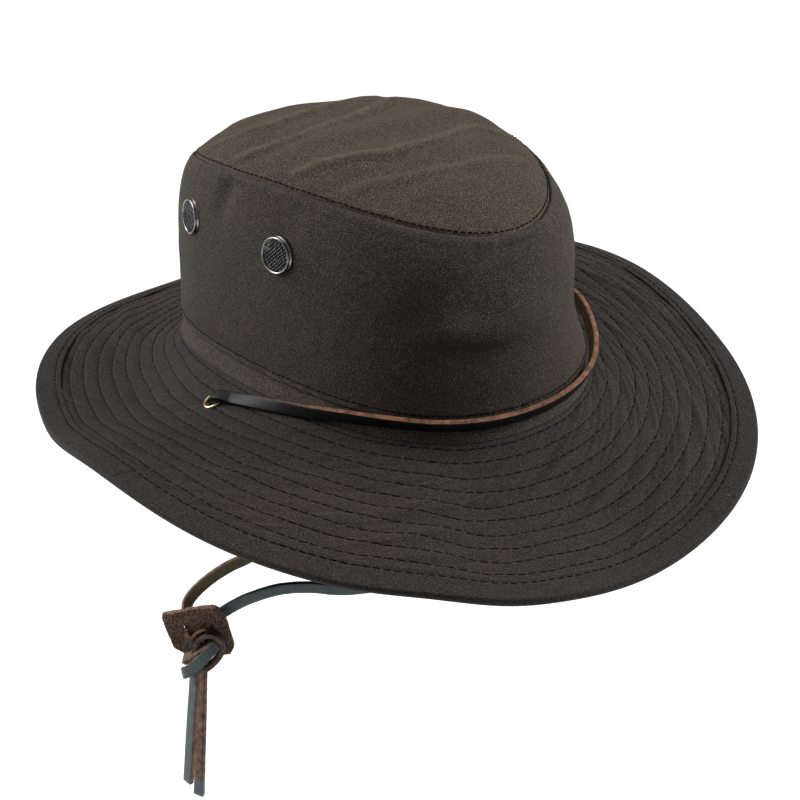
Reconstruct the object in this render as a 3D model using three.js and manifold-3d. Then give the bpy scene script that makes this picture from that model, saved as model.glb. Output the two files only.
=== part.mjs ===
// A bush hat of waxed cotton: a soft oval crown, a wide stitched brim, and a flat leather lace.
// Millimetres, +Z up. The front of the hat is -Y and the wearer's left is +X.
// The origin is the middle of the head opening, level with the seam between crown and brim.

import * as THREE from "three";
import { mergeVertices } from "three/addons/utils/BufferGeometryUtils.js";
import Module from "manifold-3d";

const wasm = await Module();
wasm.setup();

// Clearance and cloth. A rivet-like barrel reaches this far past the inside of its cloth.
const gap = 0.3;
const clothThickness = 1.6;
const brimThickness = 2.4;
const bindingThickness = 1.0;
const barrelReach = 0.6;

// Head opening, measured on the seam between band and brim
const seamLength = 210;
const seamWidth = 159;
const seamSaddle = 4;
const crownEgg = 0.07;
const crownFullness = 0.03;

// Crown: the band strip below, then the wall, then the tip panel
const bandHeight = 9.5;
const bandLap = 5;
const bandInset = 1.6;
const crownHeight = 86.3;
const tipLength = 177;
const tipWidth = 136;
const tipEgg = 0.187;
const tipFullness = 0.013;
const tipSaddle = 6.6;
const tipLean = -3.2;
const tipShift = -1.7;
const domeHeight = 19.5;
const domeRoundness = 3.3;
const domeRearward = 0.17;
const weltHeight = 4;
const weltRise = 0.7;

// Brim
const brimWidth = 81.5;
const bindingWidth = 12.5;

// Vents: two on each side of the crown, ahead of and behind the middle of the side
const sideMiddle = 175.5;
const ventAhead = 18.2;
const ventBehind = 16.2;
const ventLevel = 0.686;
const ventRadius = 8.7;
const ventBore = 7.2;
const ventBarrel = 7.8;
const ventFlange = 1.5;
const gauzeThickness = 0.8;
const gauzeDish = 0.4;

// Brim eyelets for the lace, a little ahead of the middle of the side
const eyeletAhead = 2;
const eyeletOut = 13.5;
const eyeletRadius = 4.9;
const eyeletBore = 3.4;
const eyeletBarrel = 3.9;
const eyeletFlange = 0.9;

// Lace and what is on it
const laceWidth = 5.5;
const laceThickness = 2.5;
const laceStep = 12;
const sliderThickness = 3;
const slotHeight = 8;
const slotWidth = laceThickness + 2 * gap;

// Facets
const roundSteps = 56;
const ringSteps = 16;

// Wall profile: how much of the way in to the tip the wall has come, by share of its height
const wallProfile = [
  { height: 0, inset: 0 },
  { height: 0.25, inset: 0.04 },
  { height: 0.5, inset: 0.12 },
  { height: 0.7, inset: 0.25 },
  { height: 0.85, inset: 0.5 },
  { height: 0.95, inset: 0.78 },
  { height: 1, inset: 1 },
];

// Dents in the wall: angle and slant in degrees, all lengths as shares of the crown's height.
// A negative depth is a soft bulge.
const wallDents = [
  { angle: 262, height: 0.8, slant: 32, long: 0.55, short: 0.13, depth: 0.04 },
  { angle: 249, height: 0.42, slant: 8, long: 0.2, short: 0.07, depth: 0.035 },
  { angle: 243, height: 0.53, slant: 8, long: 0.14, short: 0.07, depth: -0.016 },
  { angle: 269, height: 0.58, slant: -20, long: 0.22, short: 0.12, depth: -0.02 },
  { angle: 174, height: 0.9, slant: 80, long: 0.14, short: 0.06, depth: 0.014 },
  { angle: 320, height: 0.42, slant: 0, long: 0.45, short: 0.32, depth: 0.07 },
  { angle: 70, height: 0.5, slant: 20, long: 0.4, short: 0.16, depth: 0.025 },
  { angle: 42, height: 0.78, slant: -30, long: 0.3, short: 0.13, depth: 0.025 },
];

// Soft folds across the tip: place and width as shares of half its length, height of its dome
const tipFolds = [
  { place: 0.62, slant: 0.18, width: 0.13, height: 0.1 },
  { place: 0.31, slant: 0.12, width: 0.12, height: 0.12 },
  { place: -0.09, slant: 0.07, width: 0.12, height: 0.13 },
  { place: -0.4, slant: -0.1, width: 0.1, height: 0.08 },
];

// Slope of the brim below the level, in degrees, every 30 degrees round from the wearer's left
const brimSlopes = [
  { atCrown: 10, middle: 0, atEdge: 21 },
  { atCrown: 9, middle: 2, atEdge: 23 },
  { atCrown: 13, middle: 6, atEdge: 24 },
  { atCrown: 27, middle: 11, atEdge: 23 },
  { atCrown: 49, middle: 7, atEdge: 18 },
  { atCrown: 82, middle: 8, atEdge: 11 },
  { atCrown: 50, middle: -3, atEdge: 14 },
  { atCrown: 21, middle: 8, atEdge: 20 },
  { atCrown: 32, middle: 15, atEdge: 15 },
  { atCrown: 44, middle: 28, atEdge: 7 },
  { atCrown: 32, middle: 23, atEdge: 11 },
  { atCrown: 18, middle: 12, atEdge: 16 },
];

// Soft waves in the brim, as a dent across its width: lengths as shares of the brim's width
const brimWaves = [
  { angle: 236, out: 0.62, wide: 7, long: 0.4, lift: 0.03 },
  { angle: 246, out: 0.62, wide: 8, long: 0.4, lift: -0.03 },
];

// The lace round the crown, from an eyelet (share 0) to the front (share 1), on the near side and
// on the far one, where it stands off more. Its top edge has a height over the seam, as a share of
// the band's, and stands off the seam, as a share of the lace's width. Its face is turned up from
// the level, in degrees.
const laceRound = [
  { share: 0.05, nearHeight: -0.23, nearOff: 0.98, nearFace: 55, farHeight: 0.35, farOff: 2, farFace: 40 },
  { share: 0.12, nearHeight: 0.1, nearOff: 0.81, nearFace: 36, farHeight: 0.8, farOff: 2.3, farFace: 20 },
  { share: 0.2, nearHeight: 0.4, nearOff: 0.6, nearFace: 19, farHeight: 1.08, farOff: 2.15, farFace: 0 },
  { share: 0.265, nearHeight: 0.56, nearOff: 0.4, nearFace: 5, farHeight: 1.16, farOff: 1.85, farFace: -10 },
  { share: 0.325, nearHeight: 0.75, nearOff: 0.33, nearFace: -5, farHeight: 1.18, farOff: 1.45, farFace: -16 },
  { share: 0.4, nearHeight: 0.96, nearOff: 0.28, nearFace: -12, farHeight: 1.18, farOff: 1, farFace: -20 },
  { share: 0.52, nearHeight: 1.15, nearOff: 0.3, nearFace: -21, farHeight: 1.18, farOff: 0.6, farFace: -23 },
  { share: 0.64, nearHeight: 1.18, nearOff: 0.3, nearFace: -24, farHeight: 1.18, farOff: 0.42, farFace: -24 },
  { share: 1, nearHeight: 1.18, nearOff: 0.3, nearFace: -24, farHeight: 1.18, farOff: 0.3, farFace: -24 },
];

// Routes of the hanging stretches, chosen by hand, from below each eyelet to behind the slider
const nearRoute = [
  [-84, 7, -14], [-79, 4, -24], [-75, -1, -36], [-72, -5, -48], [-71, -9, -60], [-73, -10.5, -70],
  [-78, -8, -79], [-85, -1.8, -85.3], [-90.1, 4.6, -90.5], [-95.4, 12.3, -98.2], [-100.7, 18.3, -106.1],
];
const farRoute = [
  [94, 7, -10], [92.5, 3, -24], [88, -3, -42], [78, -11, -60], [62, -21, -78], [42, -30, -91], [20, -36, -99],
  [0, -38, -103], [-20, -37, -105], [-36, -33, -105.5], [-49.2, -26, -105], [-60.4, -17.6, -103.2],
  [-71.7, -9.2, -103.8], [-82.7, 0.3, -109], [-87.6, 6.5, -114.1], [-90.7, 11.3, -118.8],
];

// The slider hangs upright and is turned about Z; places on it are across, out and up
const sliderPlace = new THREE.Vector3(-104, 15, -126);
const sliderTurn = -36.8;

// Outline of the slider, a soft-cornered scrap of suede
const sliderOutline = [
  [-16, 9], [-16.5, 3], [-11, -9.5], [-6, -12.5], [14, -12.5], [16.5, -7.5],
  [12.5, 7], [10, 11.5], [6, 12.8], [-4, 12],
];
const slots = [
  { across: -5, up: -0.4 },
  { across: 5, up: -0.6 },
];

// How each stretch of lace comes down behind the slider and goes through its slot
const nearThrough = [[-3.7, -5.4, 13.9], [-5, -5.8, 10.2], [-5.6, -5.8, 6.2], [-5.2, -4.4, 2]];
const farThrough = [[9.8, -6.2, 4.2], [7.2, -6.2, 2], [5.5, -4.6, 0.8]];
const slotDip = 18;

// The knot: what comes out of the slots, a turn round the front, a turn round its side, a core,
// and the start of each tail. A face turns in degrees, or looks away from a middle.
const knotRuns = [
  { from: 0, places: [[-3.6, 6, -3.6], [-1.4, 5.8, -7.5], [0, 5, -11.5]], turns: [90, 60, 40, 30] },
  { from: 1, places: [[4.8, 6, -4], [3.6, 5.8, -8], [2, 5, -12]], turns: [90, 120, 140, 150] },
  {
    places: [
      [-6.2, 5, -17.4], [-7.4, 8.2, -16.6], [-4.6, 10.3, -14.6], [0, 10.8, -11.5],
      [4.8, 10.4, -7.2], [8, 8.8, -4.2], [8.6, 5.6, -4.6],
    ],
    turns: [-80, -50, -10, 0, 10, 50, 80],
  },
  {
    places: [
      [-2, 5.8, -9.6], [-1.2, 6.2, -4.4], [1, 6.2, -0.4], [4.6, 6.2, 1.6], [8.2, 6.2, 1], [10.9, 6.2, -2.2],
      [11.4, 6, -6.4], [9.4, 5.6, -10.8], [6, 5.2, -14.4],
    ],
    middle: [4.8, -6],
  },
  { places: [[7.4, 5.2, -13], [3.4, 5.2, -17], [-1.2, 5.4, -19.4], [-2.9, 5.6, -21.6], [-3, 5.6, -23.8]], turns: [-38] },
  { places: [[1.6, 5, -13], [1, 3.4, -17], [0, 0, -20.6], [-0.2, -0.6, -22.4], [-0.2, -0.6, -23.8]], turns: [-38] },
];
const knotCore = { place: [2.4, 5.6, -8.6], size: [6, 2.6, 8] };
const tails = [
  { name: "lace_tail_short", places: [[-3, 5.6, -24.3], [-6.5, 5.4, -48.8], [-11.6, 5, -87.2]] },
  { name: "lace_tail_long", places: [[-0.2, -0.6, -24.3], [-2.9, -0.6, -52.5], [-7.9, -0.6, -100.4]] },
];
const tailFace = -38;

const materials = {
  waxedCotton: cloth("#4b443c", 0.72),
  waxedCottonEdge: cloth("#473f38", 0.7),
  nickel: metal("#8d8b86", 0.32),
  gauze: metal("#26262a", 0.5),
  brass: metal("#b09a5e", 0.3),
  laceLeather: cloth("#2b2624", 0.5),
  suede: cloth("#5c4438", 0.92),
};

function cloth(color, roughness) {
  return new THREE.MeshStandardMaterial({ color, roughness, metalness: 0 });
}

function metal(color, roughness) {
  return new THREE.MeshStandardMaterial({ color, roughness, metalness: 1 });
}

function radians(degrees) {
  return THREE.MathUtils.degToRad(degrees);
}

// Cubic through four values, for a share between the middle two
function cubic(before, from, to, after, share) {
  const slopeFrom = (to - before) / 2;
  const slopeTo = (after - from) / 2;
  const bend = 2 * (from - to) + slopeFrom + slopeTo;
  const lift = 3 * (to - from) - 2 * slopeFrom - slopeTo;
  return ((bend * share + lift) * share + slopeFrom) * share + from;
}

// Value of a column of evenly spaced rows that go round and meet
function roundLookup(rows, column, angle) {
  const place = (((angle / 360) % 1) + 1) % 1 * rows.length;
  const row = Math.floor(place);
  const at = (step) => rows[(row + step + rows.length) % rows.length][column];
  return cubic(at(-1), at(0), at(1), at(2), place - row);
}

// Value of a column at a key, smooth between rows
function lookup(rows, key, column, value) {
  const last = rows.length - 1;
  let row = 0;
  while (row < last - 1 && rows[row + 1][key] < value) row += 1;
  const from = rows[row];
  const to = rows[row + 1];
  const span = to[key] - from[key];
  const share = THREE.MathUtils.clamp((value - from[key]) / span, 0, 1);
  const slope = (a, b) => (b[column] - a[column]) / (b[key] - a[key]);
  const here = slope(from, to);
  const slopeFrom = row > 0 ? (slope(rows[row - 1], from) + here) / 2 : here;
  const slopeTo = row + 2 <= last ? (here + slope(to, rows[row + 2])) / 2 : here;
  const rise = to[column] - from[column];
  const bend = -2 * rise + (slopeFrom + slopeTo) * span;
  const lift = 3 * rise - (2 * slopeFrom + slopeTo) * span;
  return ((bend * share + lift) * share + slopeFrom * span) * share + from[column];
}

// Egg-shaped oval, a little fuller than an ellipse; the angle is in degrees
function oval(angle, length, width, egg, fullness) {
  const t = radians(angle);
  const across = (Math.cos(t) - fullness * Math.cos(3 * t)) / (1 - fullness);
  const along = (Math.sin(t) + fullness * Math.sin(3 * t)) / (1 - fullness);
  return new THREE.Vector2((width / 2) * across * (1 + egg * Math.sin(t)), (length / 2) * along);
}

function seamPoint(angle) {
  const plan = oval(angle, seamLength, seamWidth, crownEgg, crownFullness);
  return new THREE.Vector3(plan.x, plan.y, seamSaddle * Math.cos(2 * radians(angle)));
}

// Level direction that points straight out of the seam
function outward(angle) {
  const along = seamPoint(angle + 0.01).sub(seamPoint(angle - 0.01));
  return new THREE.Vector3(along.y, -along.x, 0).normalize();
}

function tipEdge(angle) {
  const plan = oval(angle, tipLength, tipWidth, tipEgg, tipFullness);
  const saddle = tipSaddle * Math.cos(2 * radians(angle));
  const lean = Math.tan(radians(tipLean)) * plan.x;
  return new THREE.Vector3(plan.x, plan.y + tipShift, crownHeight + saddle + lean);
}

function angleBetween(angle, other) {
  return ((angle - other + 540) % 360) - 180;
}

// Sum of the soft dents at a place on the wall, inward
function wallDent(angle, height) {
  const girth = Math.PI * (seamLength + seamWidth) / 2;
  const fade = Math.min(1, height / 0.12) * Math.min(1, (1 - height) / 0.08);
  let depth = 0;
  for (const dent of wallDents) {
    const across = (angleBetween(angle, dent.angle) / 360) * girth;
    const up = (height - dent.height) * crownHeight;
    const slant = radians(dent.slant);
    const along = (across * Math.cos(slant) + up * Math.sin(slant)) / (dent.long * crownHeight);
    const beside = (up * Math.cos(slant) - across * Math.sin(slant)) / (dent.short * crownHeight);
    depth += dent.depth * crownHeight * Math.exp(-along * along - beside * beside);
  }
  return depth * Math.max(0, fade);
}

// Outer face of the wall, by angle and share of its height
function wallPoint(angle, height) {
  const out = outward(angle);
  const foot = seamPoint(angle).addScaledVector(out, -bandInset);
  foot.z += bandHeight;
  const top = tipEdge(angle);
  const inset = lookup(wallProfile, "height", "inset", height);
  const point = foot.clone().lerp(top, inset);
  point.z = THREE.MathUtils.lerp(foot.z, top.z, height);
  const welt = Math.max(0, height - (1 - weltHeight / crownHeight)) > 0 ? weltRise : 0;
  return point.addScaledVector(out, welt - wallDent(angle, height));
}

// Upper face of the tip panel, by angle and share of the way out
function tipPoint(angle, share) {
  const edge = tipEdge(angle);
  const x = edge.x * share;
  const y = (edge.y - tipShift) * share + tipShift;
  let z = crownHeight + Math.tan(radians(tipLean)) * x;
  z += tipSaddle * share * share * Math.cos(2 * radians(angle));
  const halfLength = tipLength / 2;
  z += domeHeight * (1 - share ** domeRoundness) * (1 + (domeRearward * y) / halfLength);
  const calm = 1 - share ** 6;
  for (const fold of tipFolds) {
    const off = (y - fold.place * halfLength - fold.slant * x) / (fold.width * halfLength);
    z += fold.height * domeHeight * Math.exp(-off * off) * calm;
  }
  return new THREE.Vector3(x, y, z);
}

// Upper face of the brim, by angle and distance out from the seam along the cloth
function brimPoint(angle, out) {
  const steps = Math.max(2, Math.ceil(out / 4));
  const atCrown = roundLookup(brimSlopes, "atCrown", angle);
  const middle = roundLookup(brimSlopes, "middle", angle);
  const atEdge = roundLookup(brimSlopes, "atEdge", angle);
  let reach = 0;
  let drop = 0;
  for (let step = 0; step < steps; step += 1) {
    const share = ((step + 0.5) / steps) * (out / brimWidth);
    const slope = atCrown * (1 - share) * (1 - 2 * share)
      + middle * 4 * share * (1 - share) + atEdge * share * (2 * share - 1);
    reach += Math.cos(radians(slope)) * (out / steps);
    drop += Math.sin(radians(slope)) * (out / steps);
  }
  const point = seamPoint(angle).addScaledVector(outward(angle), reach);
  point.z -= drop;
  for (const wave of brimWaves) {
    const across = angleBetween(angle, wave.angle) / wave.wide;
    const along = (out / brimWidth - wave.out) / wave.long;
    point.z += wave.lift * brimWidth * Math.exp(-across * across - along * along);
  }
  return point;
}

// Unit normal of a face given as a function of two values
function normalOf(face, u, v, stepU, stepV) {
  const alongU = face(u + stepU, v).sub(face(u - stepU, v));
  const alongV = face(u, v + stepV).sub(face(u, v - stepV));
  return alongU.cross(alongV).normalize();
}

function brimNormal(angle, out) {
  const at = THREE.MathUtils.clamp(out, 0.5, brimWidth - 0.5);
  return normalOf(brimPoint, angle, at, 0.5, 0.5).negate();
}

function wallNormal(angle, height) {
  const smooth = (a, h) => wallPoint(a, Math.min(h, 1 - (1.5 * weltHeight) / crownHeight));
  const at = THREE.MathUtils.clamp(height, 0.01, 1 - (2 * weltHeight) / crownHeight);
  return normalOf(smooth, angle, at, 0.5, 0.01);
}

// Turns a list of corner places and triangles into a closed body whose faces point out
function closedBody(points, triangles) {
  let volume = 0;
  for (const [a, b, c] of triangles) volume += points[a].dot(points[b].clone().cross(points[c]));
  const faces = volume < 0 ? triangles.map(([a, b, c]) => [a, c, b]) : triangles;
  const geometry = new THREE.BufferGeometry();
  geometry.setAttribute("position", new THREE.Float32BufferAttribute(points.flatMap((p) => p.toArray()), 3));
  geometry.setIndex(faces.flat());
  return geometry;
}

function joinSections(sections, closes) {
  const around = sections[0].length;
  const triangles = [];
  const last = closes ? sections.length : sections.length - 1;
  for (let i = 0; i < last; i += 1) {
    for (let j = 0; j < around; j += 1) {
      const a = i * around + j;
      const b = i * around + ((j + 1) % around);
      const c = ((i + 1) % sections.length) * around + j;
      const d = ((i + 1) % sections.length) * around + ((j + 1) % around);
      triangles.push([a, c, d], [a, d, b]);
    }
  }
  return triangles;
}

// A ring of closed sections, such as a band or a brim
function ringBody(sections) {
  return closedBody(sections.flat(), joinSections(sections, true));
}

// A row of closed sections with a cap on each end, such as a strap
function barBody(sections) {
  const around = sections[0].length;
  const points = sections.flat();
  const triangles = joinSections(sections, false);
  for (const end of [0, sections.length - 1]) {
    const middle = sections[end].reduce((sum, p) => sum.add(p), new THREE.Vector3()).divideScalar(around);
    const hub = points.push(middle) - 1;
    for (let j = 0; j < around; j += 1) {
      const a = end * around + j;
      const b = end * around + ((j + 1) % around);
      triangles.push(end === 0 ? [hub, a, b] : [hub, b, a]);
    }
  }
  return closedBody(points, triangles);
}

function roundTheHat(sectionAt) {
  const sections = [];
  for (let step = 0; step < roundSteps; step += 1) sections.push(sectionAt((360 * step) / roundSteps));
  return sections;
}

function toSolid(geometry) {
  const bare = geometry.clone();
  bare.deleteAttribute("normal");
  bare.deleteAttribute("uv");
  const merged = mergeVertices(bare, 1e-4);
  return new wasm.Manifold(new wasm.Mesh({
    numProp: 3,
    vertProperties: merged.attributes.position.array,
    triVerts: Uint32Array.from(merged.index.array),
  }));
}

function fromSolid(solid) {
  const mesh = solid.getMesh();
  const geometry = new THREE.BufferGeometry();
  geometry.setAttribute("position", new THREE.Float32BufferAttribute(mesh.vertProperties, 3));
  geometry.setIndex(Array.from(mesh.triVerts));
  return geometry;
}

// A round cutter through a face, along its normal
function boreAt(place, normal, radius) {
  const depth = 4 * radius;
  const cutter = new THREE.CylinderGeometry(radius, radius, depth, ringSteps);
  cutter.rotateX(Math.PI / 2);
  cutter.applyQuaternion(turnTo(normal));
  cutter.translate(place.x, place.y, place.z);
  return toSolid(cutter);
}

function turnTo(normal) {
  return new THREE.Quaternion().setFromUnitVectors(new THREE.Vector3(0, 0, 1), normal);
}

function makeMesh(name, geometry, material) {
  const mesh = new THREE.Mesh(geometry, material);
  mesh.name = name;
  return mesh;
}

// Crown wall: outer face with its welt, inner face one cloth inside it, bored for the vents
function crownSide(vents) {
  const top = 1 - (clothThickness / 3 + gap) / crownHeight;
  const weltFoot = 1 - weltHeight / crownHeight;
  const heights = [0, 0.13, 0.28, 0.42, 0.55, 0.68, 0.8, 0.89, weltFoot - 0.004, weltFoot + 0.004, top];
  const insideHeights = [0, bandLap / crownHeight, 0.34, 0.64, 0.86, top];
  const sections = roundTheHat((angle) => {
    const outside = heights.map((height) => wallPoint(angle, height));
    const inside = insideHeights.map((height) => {
      const rise = height > weltFoot ? weltRise : 0;
      const point = wallPoint(angle, height);
      return point.addScaledVector(wallNormal(angle, height), -clothThickness - rise);
    });
    return [...outside, ...inside.reverse()];
  });
  let solid = toSolid(ringBody(sections));
  for (const vent of vents) {
    solid = solid.subtract(boreAt(vent.place, vent.normal, ventBarrel + gap));
  }
  return fromSolid(solid);
}

function crownTip() {
  const shares = [0.12, 0.3, 0.47, 0.63, 0.78, 0.9, 1];
  const insideShares = [0.995, 0.85, 0.6, 0.3];
  const rings = [];
  for (const share of shares) rings.push(roundTheHat((angle) => tipPoint(angle, share)));
  for (const share of insideShares) {
    rings.push(roundTheHat((angle) => {
      const at = Math.min(share, 0.97);
      const normal = normalOf(tipPoint, angle, at, 0.5, 0.01).negate();
      return tipPoint(angle, share).addScaledVector(normal, -clothThickness);
    }));
  }
  return barBody(rings);
}

// Band strip: from the seam up to the wall's foot, and on inside the wall, which laps over it
function crownBand() {
  const lapHeight = bandLap / crownHeight;
  const sections = roundTheHat((angle) => {
    const out = outward(angle);
    const below = (inset, up) => {
      const point = seamPoint(angle).addScaledVector(out, -inset);
      point.z += up;
      return point;
    };
    const lapped = (inset) => wallPoint(angle, lapHeight).addScaledVector(wallNormal(angle, lapHeight), -inset);
    const inner = clothThickness + gap;
    return [
      below(0, gap), below(bandInset + inner, bandHeight - gap), lapped(inner),
      lapped(inner + clothThickness), below(bandInset + inner + clothThickness, bandHeight - gap),
      below(clothThickness, gap),
    ];
  });
  return ringBody(sections);
}

// A place above (or below) the brim's upper face
function overBrim(angle, out, rise) {
  return brimPoint(angle, out).addScaledVector(brimNormal(angle, out), rise);
}

function brim(eyelets) {
  const bound = brimWidth - bindingWidth;
  const edge = [bound, brimWidth - bindingThickness - gap];
  const top = [...[0, 0.05, 0.12, 0.24, 0.4, 0.6, 0.8].map((share) => share * bound), ...edge];
  const under = [...edge.toReversed(), 0.6 * bound, 0.24 * bound, 0.07 * bound, 0];
  const sections = roundTheHat((angle) => [
    ...top.map((out) => overBrim(angle, out, 0)),
    ...under.map((out) => overBrim(angle, out, -brimThickness)),
  ]);
  let solid = toSolid(ringBody(sections));
  for (const eyelet of eyelets) {
    solid = solid.subtract(boreAt(eyelet.place, eyelet.normal, eyeletBarrel + gap));
  }
  return fromSolid(solid);
}

// Binding: one folded strip over both faces of the brim's edge
function brimBinding() {
  const inner = brimWidth - bindingWidth;
  const fold = brimWidth - bindingThickness;
  const high = gap + bindingThickness;
  const low = -brimThickness - gap;
  const sections = roundTheHat((angle) => [
    overBrim(angle, inner, high),
    overBrim(angle, fold, high),
    overBrim(angle, brimWidth, -brimThickness / 2),
    overBrim(angle, fold, low - bindingThickness),
    overBrim(angle, inner, low - bindingThickness),
    overBrim(angle, inner, low),
    overBrim(angle, fold, low),
    overBrim(angle, fold, gap),
    overBrim(angle, inner, gap),
  ]);
  return ringBody(sections.map((section) => section.reverse()));
}

// Profile of a rolled flange with a barrel through the cloth, spun about the normal
function rolledRing(bore, barrel, flangeRadius, flangeHeight, depth, name, material) {
  const seat = gap;
  const profile = [
    [bore, -depth], [barrel, -depth], [barrel, seat], [flangeRadius, seat],
    [flangeRadius - flangeHeight / 2, seat + flangeHeight], [bore, seat + flangeHeight], [bore, -depth],
  ].map(([x, y]) => new THREE.Vector2(x, y));
  const ring = new THREE.LatheGeometry(profile, ringSteps);
  ring.rotateX(Math.PI / 2);
  return makeMesh(name, ring, material);
}

function seatOn(mesh, spot) {
  mesh.position.copy(spot.place).addScaledVector(spot.normal, spot.lift);
  mesh.quaternion.copy(turnTo(spot.normal));
  return mesh;
}

// A spot on a face, with how far the face swells above its level within a radius
function spotOn(face, normal, u, v, radius) {
  const place = face(u, v);
  const alongU = face(u + 0.5, v).sub(face(u - 0.5, v));
  const alongV = face(u, v + 0.01).sub(face(u, v - 0.01)).divideScalar(0.02);
  let lift = 0;
  for (let step = 0; step < 12; step += 1) {
    const turn = (2 * Math.PI * step) / 12;
    const du = (radius * Math.cos(turn)) / alongU.length();
    const dv = (radius * Math.sin(turn)) / alongV.length();
    lift = Math.max(lift, face(u + du, v + dv).sub(place).dot(normal));
  }
  return { place, normal, lift };
}

function ventSpots() {
  const spots = [];
  for (const [side, middle, turn] of [["right", sideMiddle, 1], ["left", 180 - sideMiddle, -1]]) {
    for (const [end, shift] of [["front", ventAhead], ["rear", -ventBehind]]) {
      const angle = middle + turn * shift;
      const spot = spotOn(wallPoint, wallNormal(angle, ventLevel), angle, ventLevel, ventRadius);
      spots.push({ name: `${side}_${end}`, ...spot });
    }
  }
  return spots;
}

function eyeletSpots() {
  const angles = { right: sideMiddle + eyeletAhead, left: 180 - sideMiddle - eyeletAhead };
  return Object.entries(angles).map(([name, angle]) => ({
    name,
    angle,
    ...spotOn(brimPoint, brimNormal(angle, eyeletOut), angle, eyeletOut, eyeletRadius),
  }));
}

// Gauze disc inside a vent's barrel, a little dished
function gauzeDisc(name) {
  const radius = ventBore - gap;
  const profile = [[0, gauzeDish - gauzeThickness], [radius, -gauzeThickness], [radius, 0], [0, gauzeDish]];
  const disc = new THREE.LatheGeometry(profile.map(([x, y]) => new THREE.Vector2(x, y)), ringSteps);
  disc.rotateX(Math.PI / 2);
  return makeMesh(name, disc, materials.gauze);
}

// Corners of the lace's section, about a middle, with its width and face directions
function laceSection(middle, across, face) {
  const w = laceWidth / 2;
  const h = laceThickness / 2;
  const cut = laceThickness / 8;
  const corners = [
    [w, h - cut], [w - cut, h], [cut - w, h], [-w, h - cut],
    [-w, cut - h], [cut - w, -h], [w - cut, -h], [w, cut - h],
  ];
  return corners.map(([x, y]) => middle.clone().addScaledVector(across, x).addScaledVector(face, y));
}

// A lace along stations, each with a place and the direction its face looks in
function laceBody(stations) {
  const count = stations.length;
  const sections = stations.map((station, i) => {
    const ahead = stations[Math.min(i + 1, count - 1)].place;
    const behind = stations[Math.max(i - 1, 0)].place;
    const along = ahead.clone().sub(behind).normalize();
    const face = station.face.clone().addScaledVector(along, -station.face.dot(along)).normalize();
    const across = new THREE.Vector3().crossVectors(along, face);
    return laceSection(station.place, across, face);
  });
  return barBody(sections);
}

// Stations on a smooth curve through rows of place and face, with more of them on long stretches
function smoothStations(rows, spacing) {
  const curve = new THREE.CatmullRomCurve3(rows.map((row) => row.place), false, "centripetal");
  const faces = new THREE.CatmullRomCurve3(rows.map((row) => row.face), false, "centripetal");
  const last = rows.length - 1;
  const at = (place) => ({ place: curve.getPoint(place / last), face: faces.getPoint(place / last) });
  const stations = [];
  for (let row = 0; row < last; row += 1) {
    const steps = Math.max(1, Math.round(rows[row].place.distanceTo(rows[row + 1].place) / spacing));
    for (let step = 0; step < steps; step += 1) stations.push(at(row + step / steps));
  }
  stations.push(at(last));
  return stations;
}

// How far a point at the same level lies below the brim's upper face, or 0 where it is over it
function sunkInBrim(angle, point) {
  const seam = seamPoint(angle);
  const off = Math.hypot(point.x - seam.x, point.y - seam.y) * Math.sign(point.clone().sub(seam).dot(outward(angle)));
  if (off <= 0) return 0;
  let out = off;
  for (let pass = 0; pass < 3; pass += 1) {
    const under = brimPoint(angle, out);
    out += off - Math.hypot(under.x - seam.x, under.y - seam.y);
  }
  return Math.max(0, brimPoint(angle, out).z + gap - point.z);
}

// One station of the lace round the crown: clear of the band, and lifted where it rests on the brim
function laceRoundStation(eyelet, share, sweep) {
  const side = eyelet.name === "right" ? "near" : "far";
  const angle = eyelet.angle + (share * sweep) / 2;
  const out = outward(angle);
  const turn = radians(lookup(laceRound, "share", `${side}Face`, share));
  const face = out.clone().multiplyScalar(Math.cos(turn)).add(new THREE.Vector3(0, 0, Math.sin(turn)));
  const up = out.clone().multiplyScalar(-Math.sin(turn)).add(new THREE.Vector3(0, 0, Math.cos(turn)));
  const place = seamPoint(angle)
    .addScaledVector(out, lookup(laceRound, "share", `${side}Off`, share) * laceWidth)
    .addScaledVector(up, -laceWidth / 2);
  place.z += lookup(laceRound, "share", `${side}Height`, share) * bandHeight;
  const sunk = laceSection(place, up, face).map((corner) => sunkInBrim(angle, corner));
  place.z += Math.max(...sunk);
  return { place, face };
}

function throughEyelet(eyelet, depth) {
  return eyelet.place.clone().addScaledVector(eyelet.normal, depth);
}

// Level along the brim from an eyelet towards where the lace first lies
function leadFrom(eyelet, place) {
  const lead = place.clone().sub(eyelet.place);
  return lead.addScaledVector(eyelet.normal, -lead.dot(eyelet.normal)).normalize();
}

// How far round the front the lace goes, in degrees
function sweepRound([near, far]) {
  return 360 + far.angle - near.angle;
}

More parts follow.
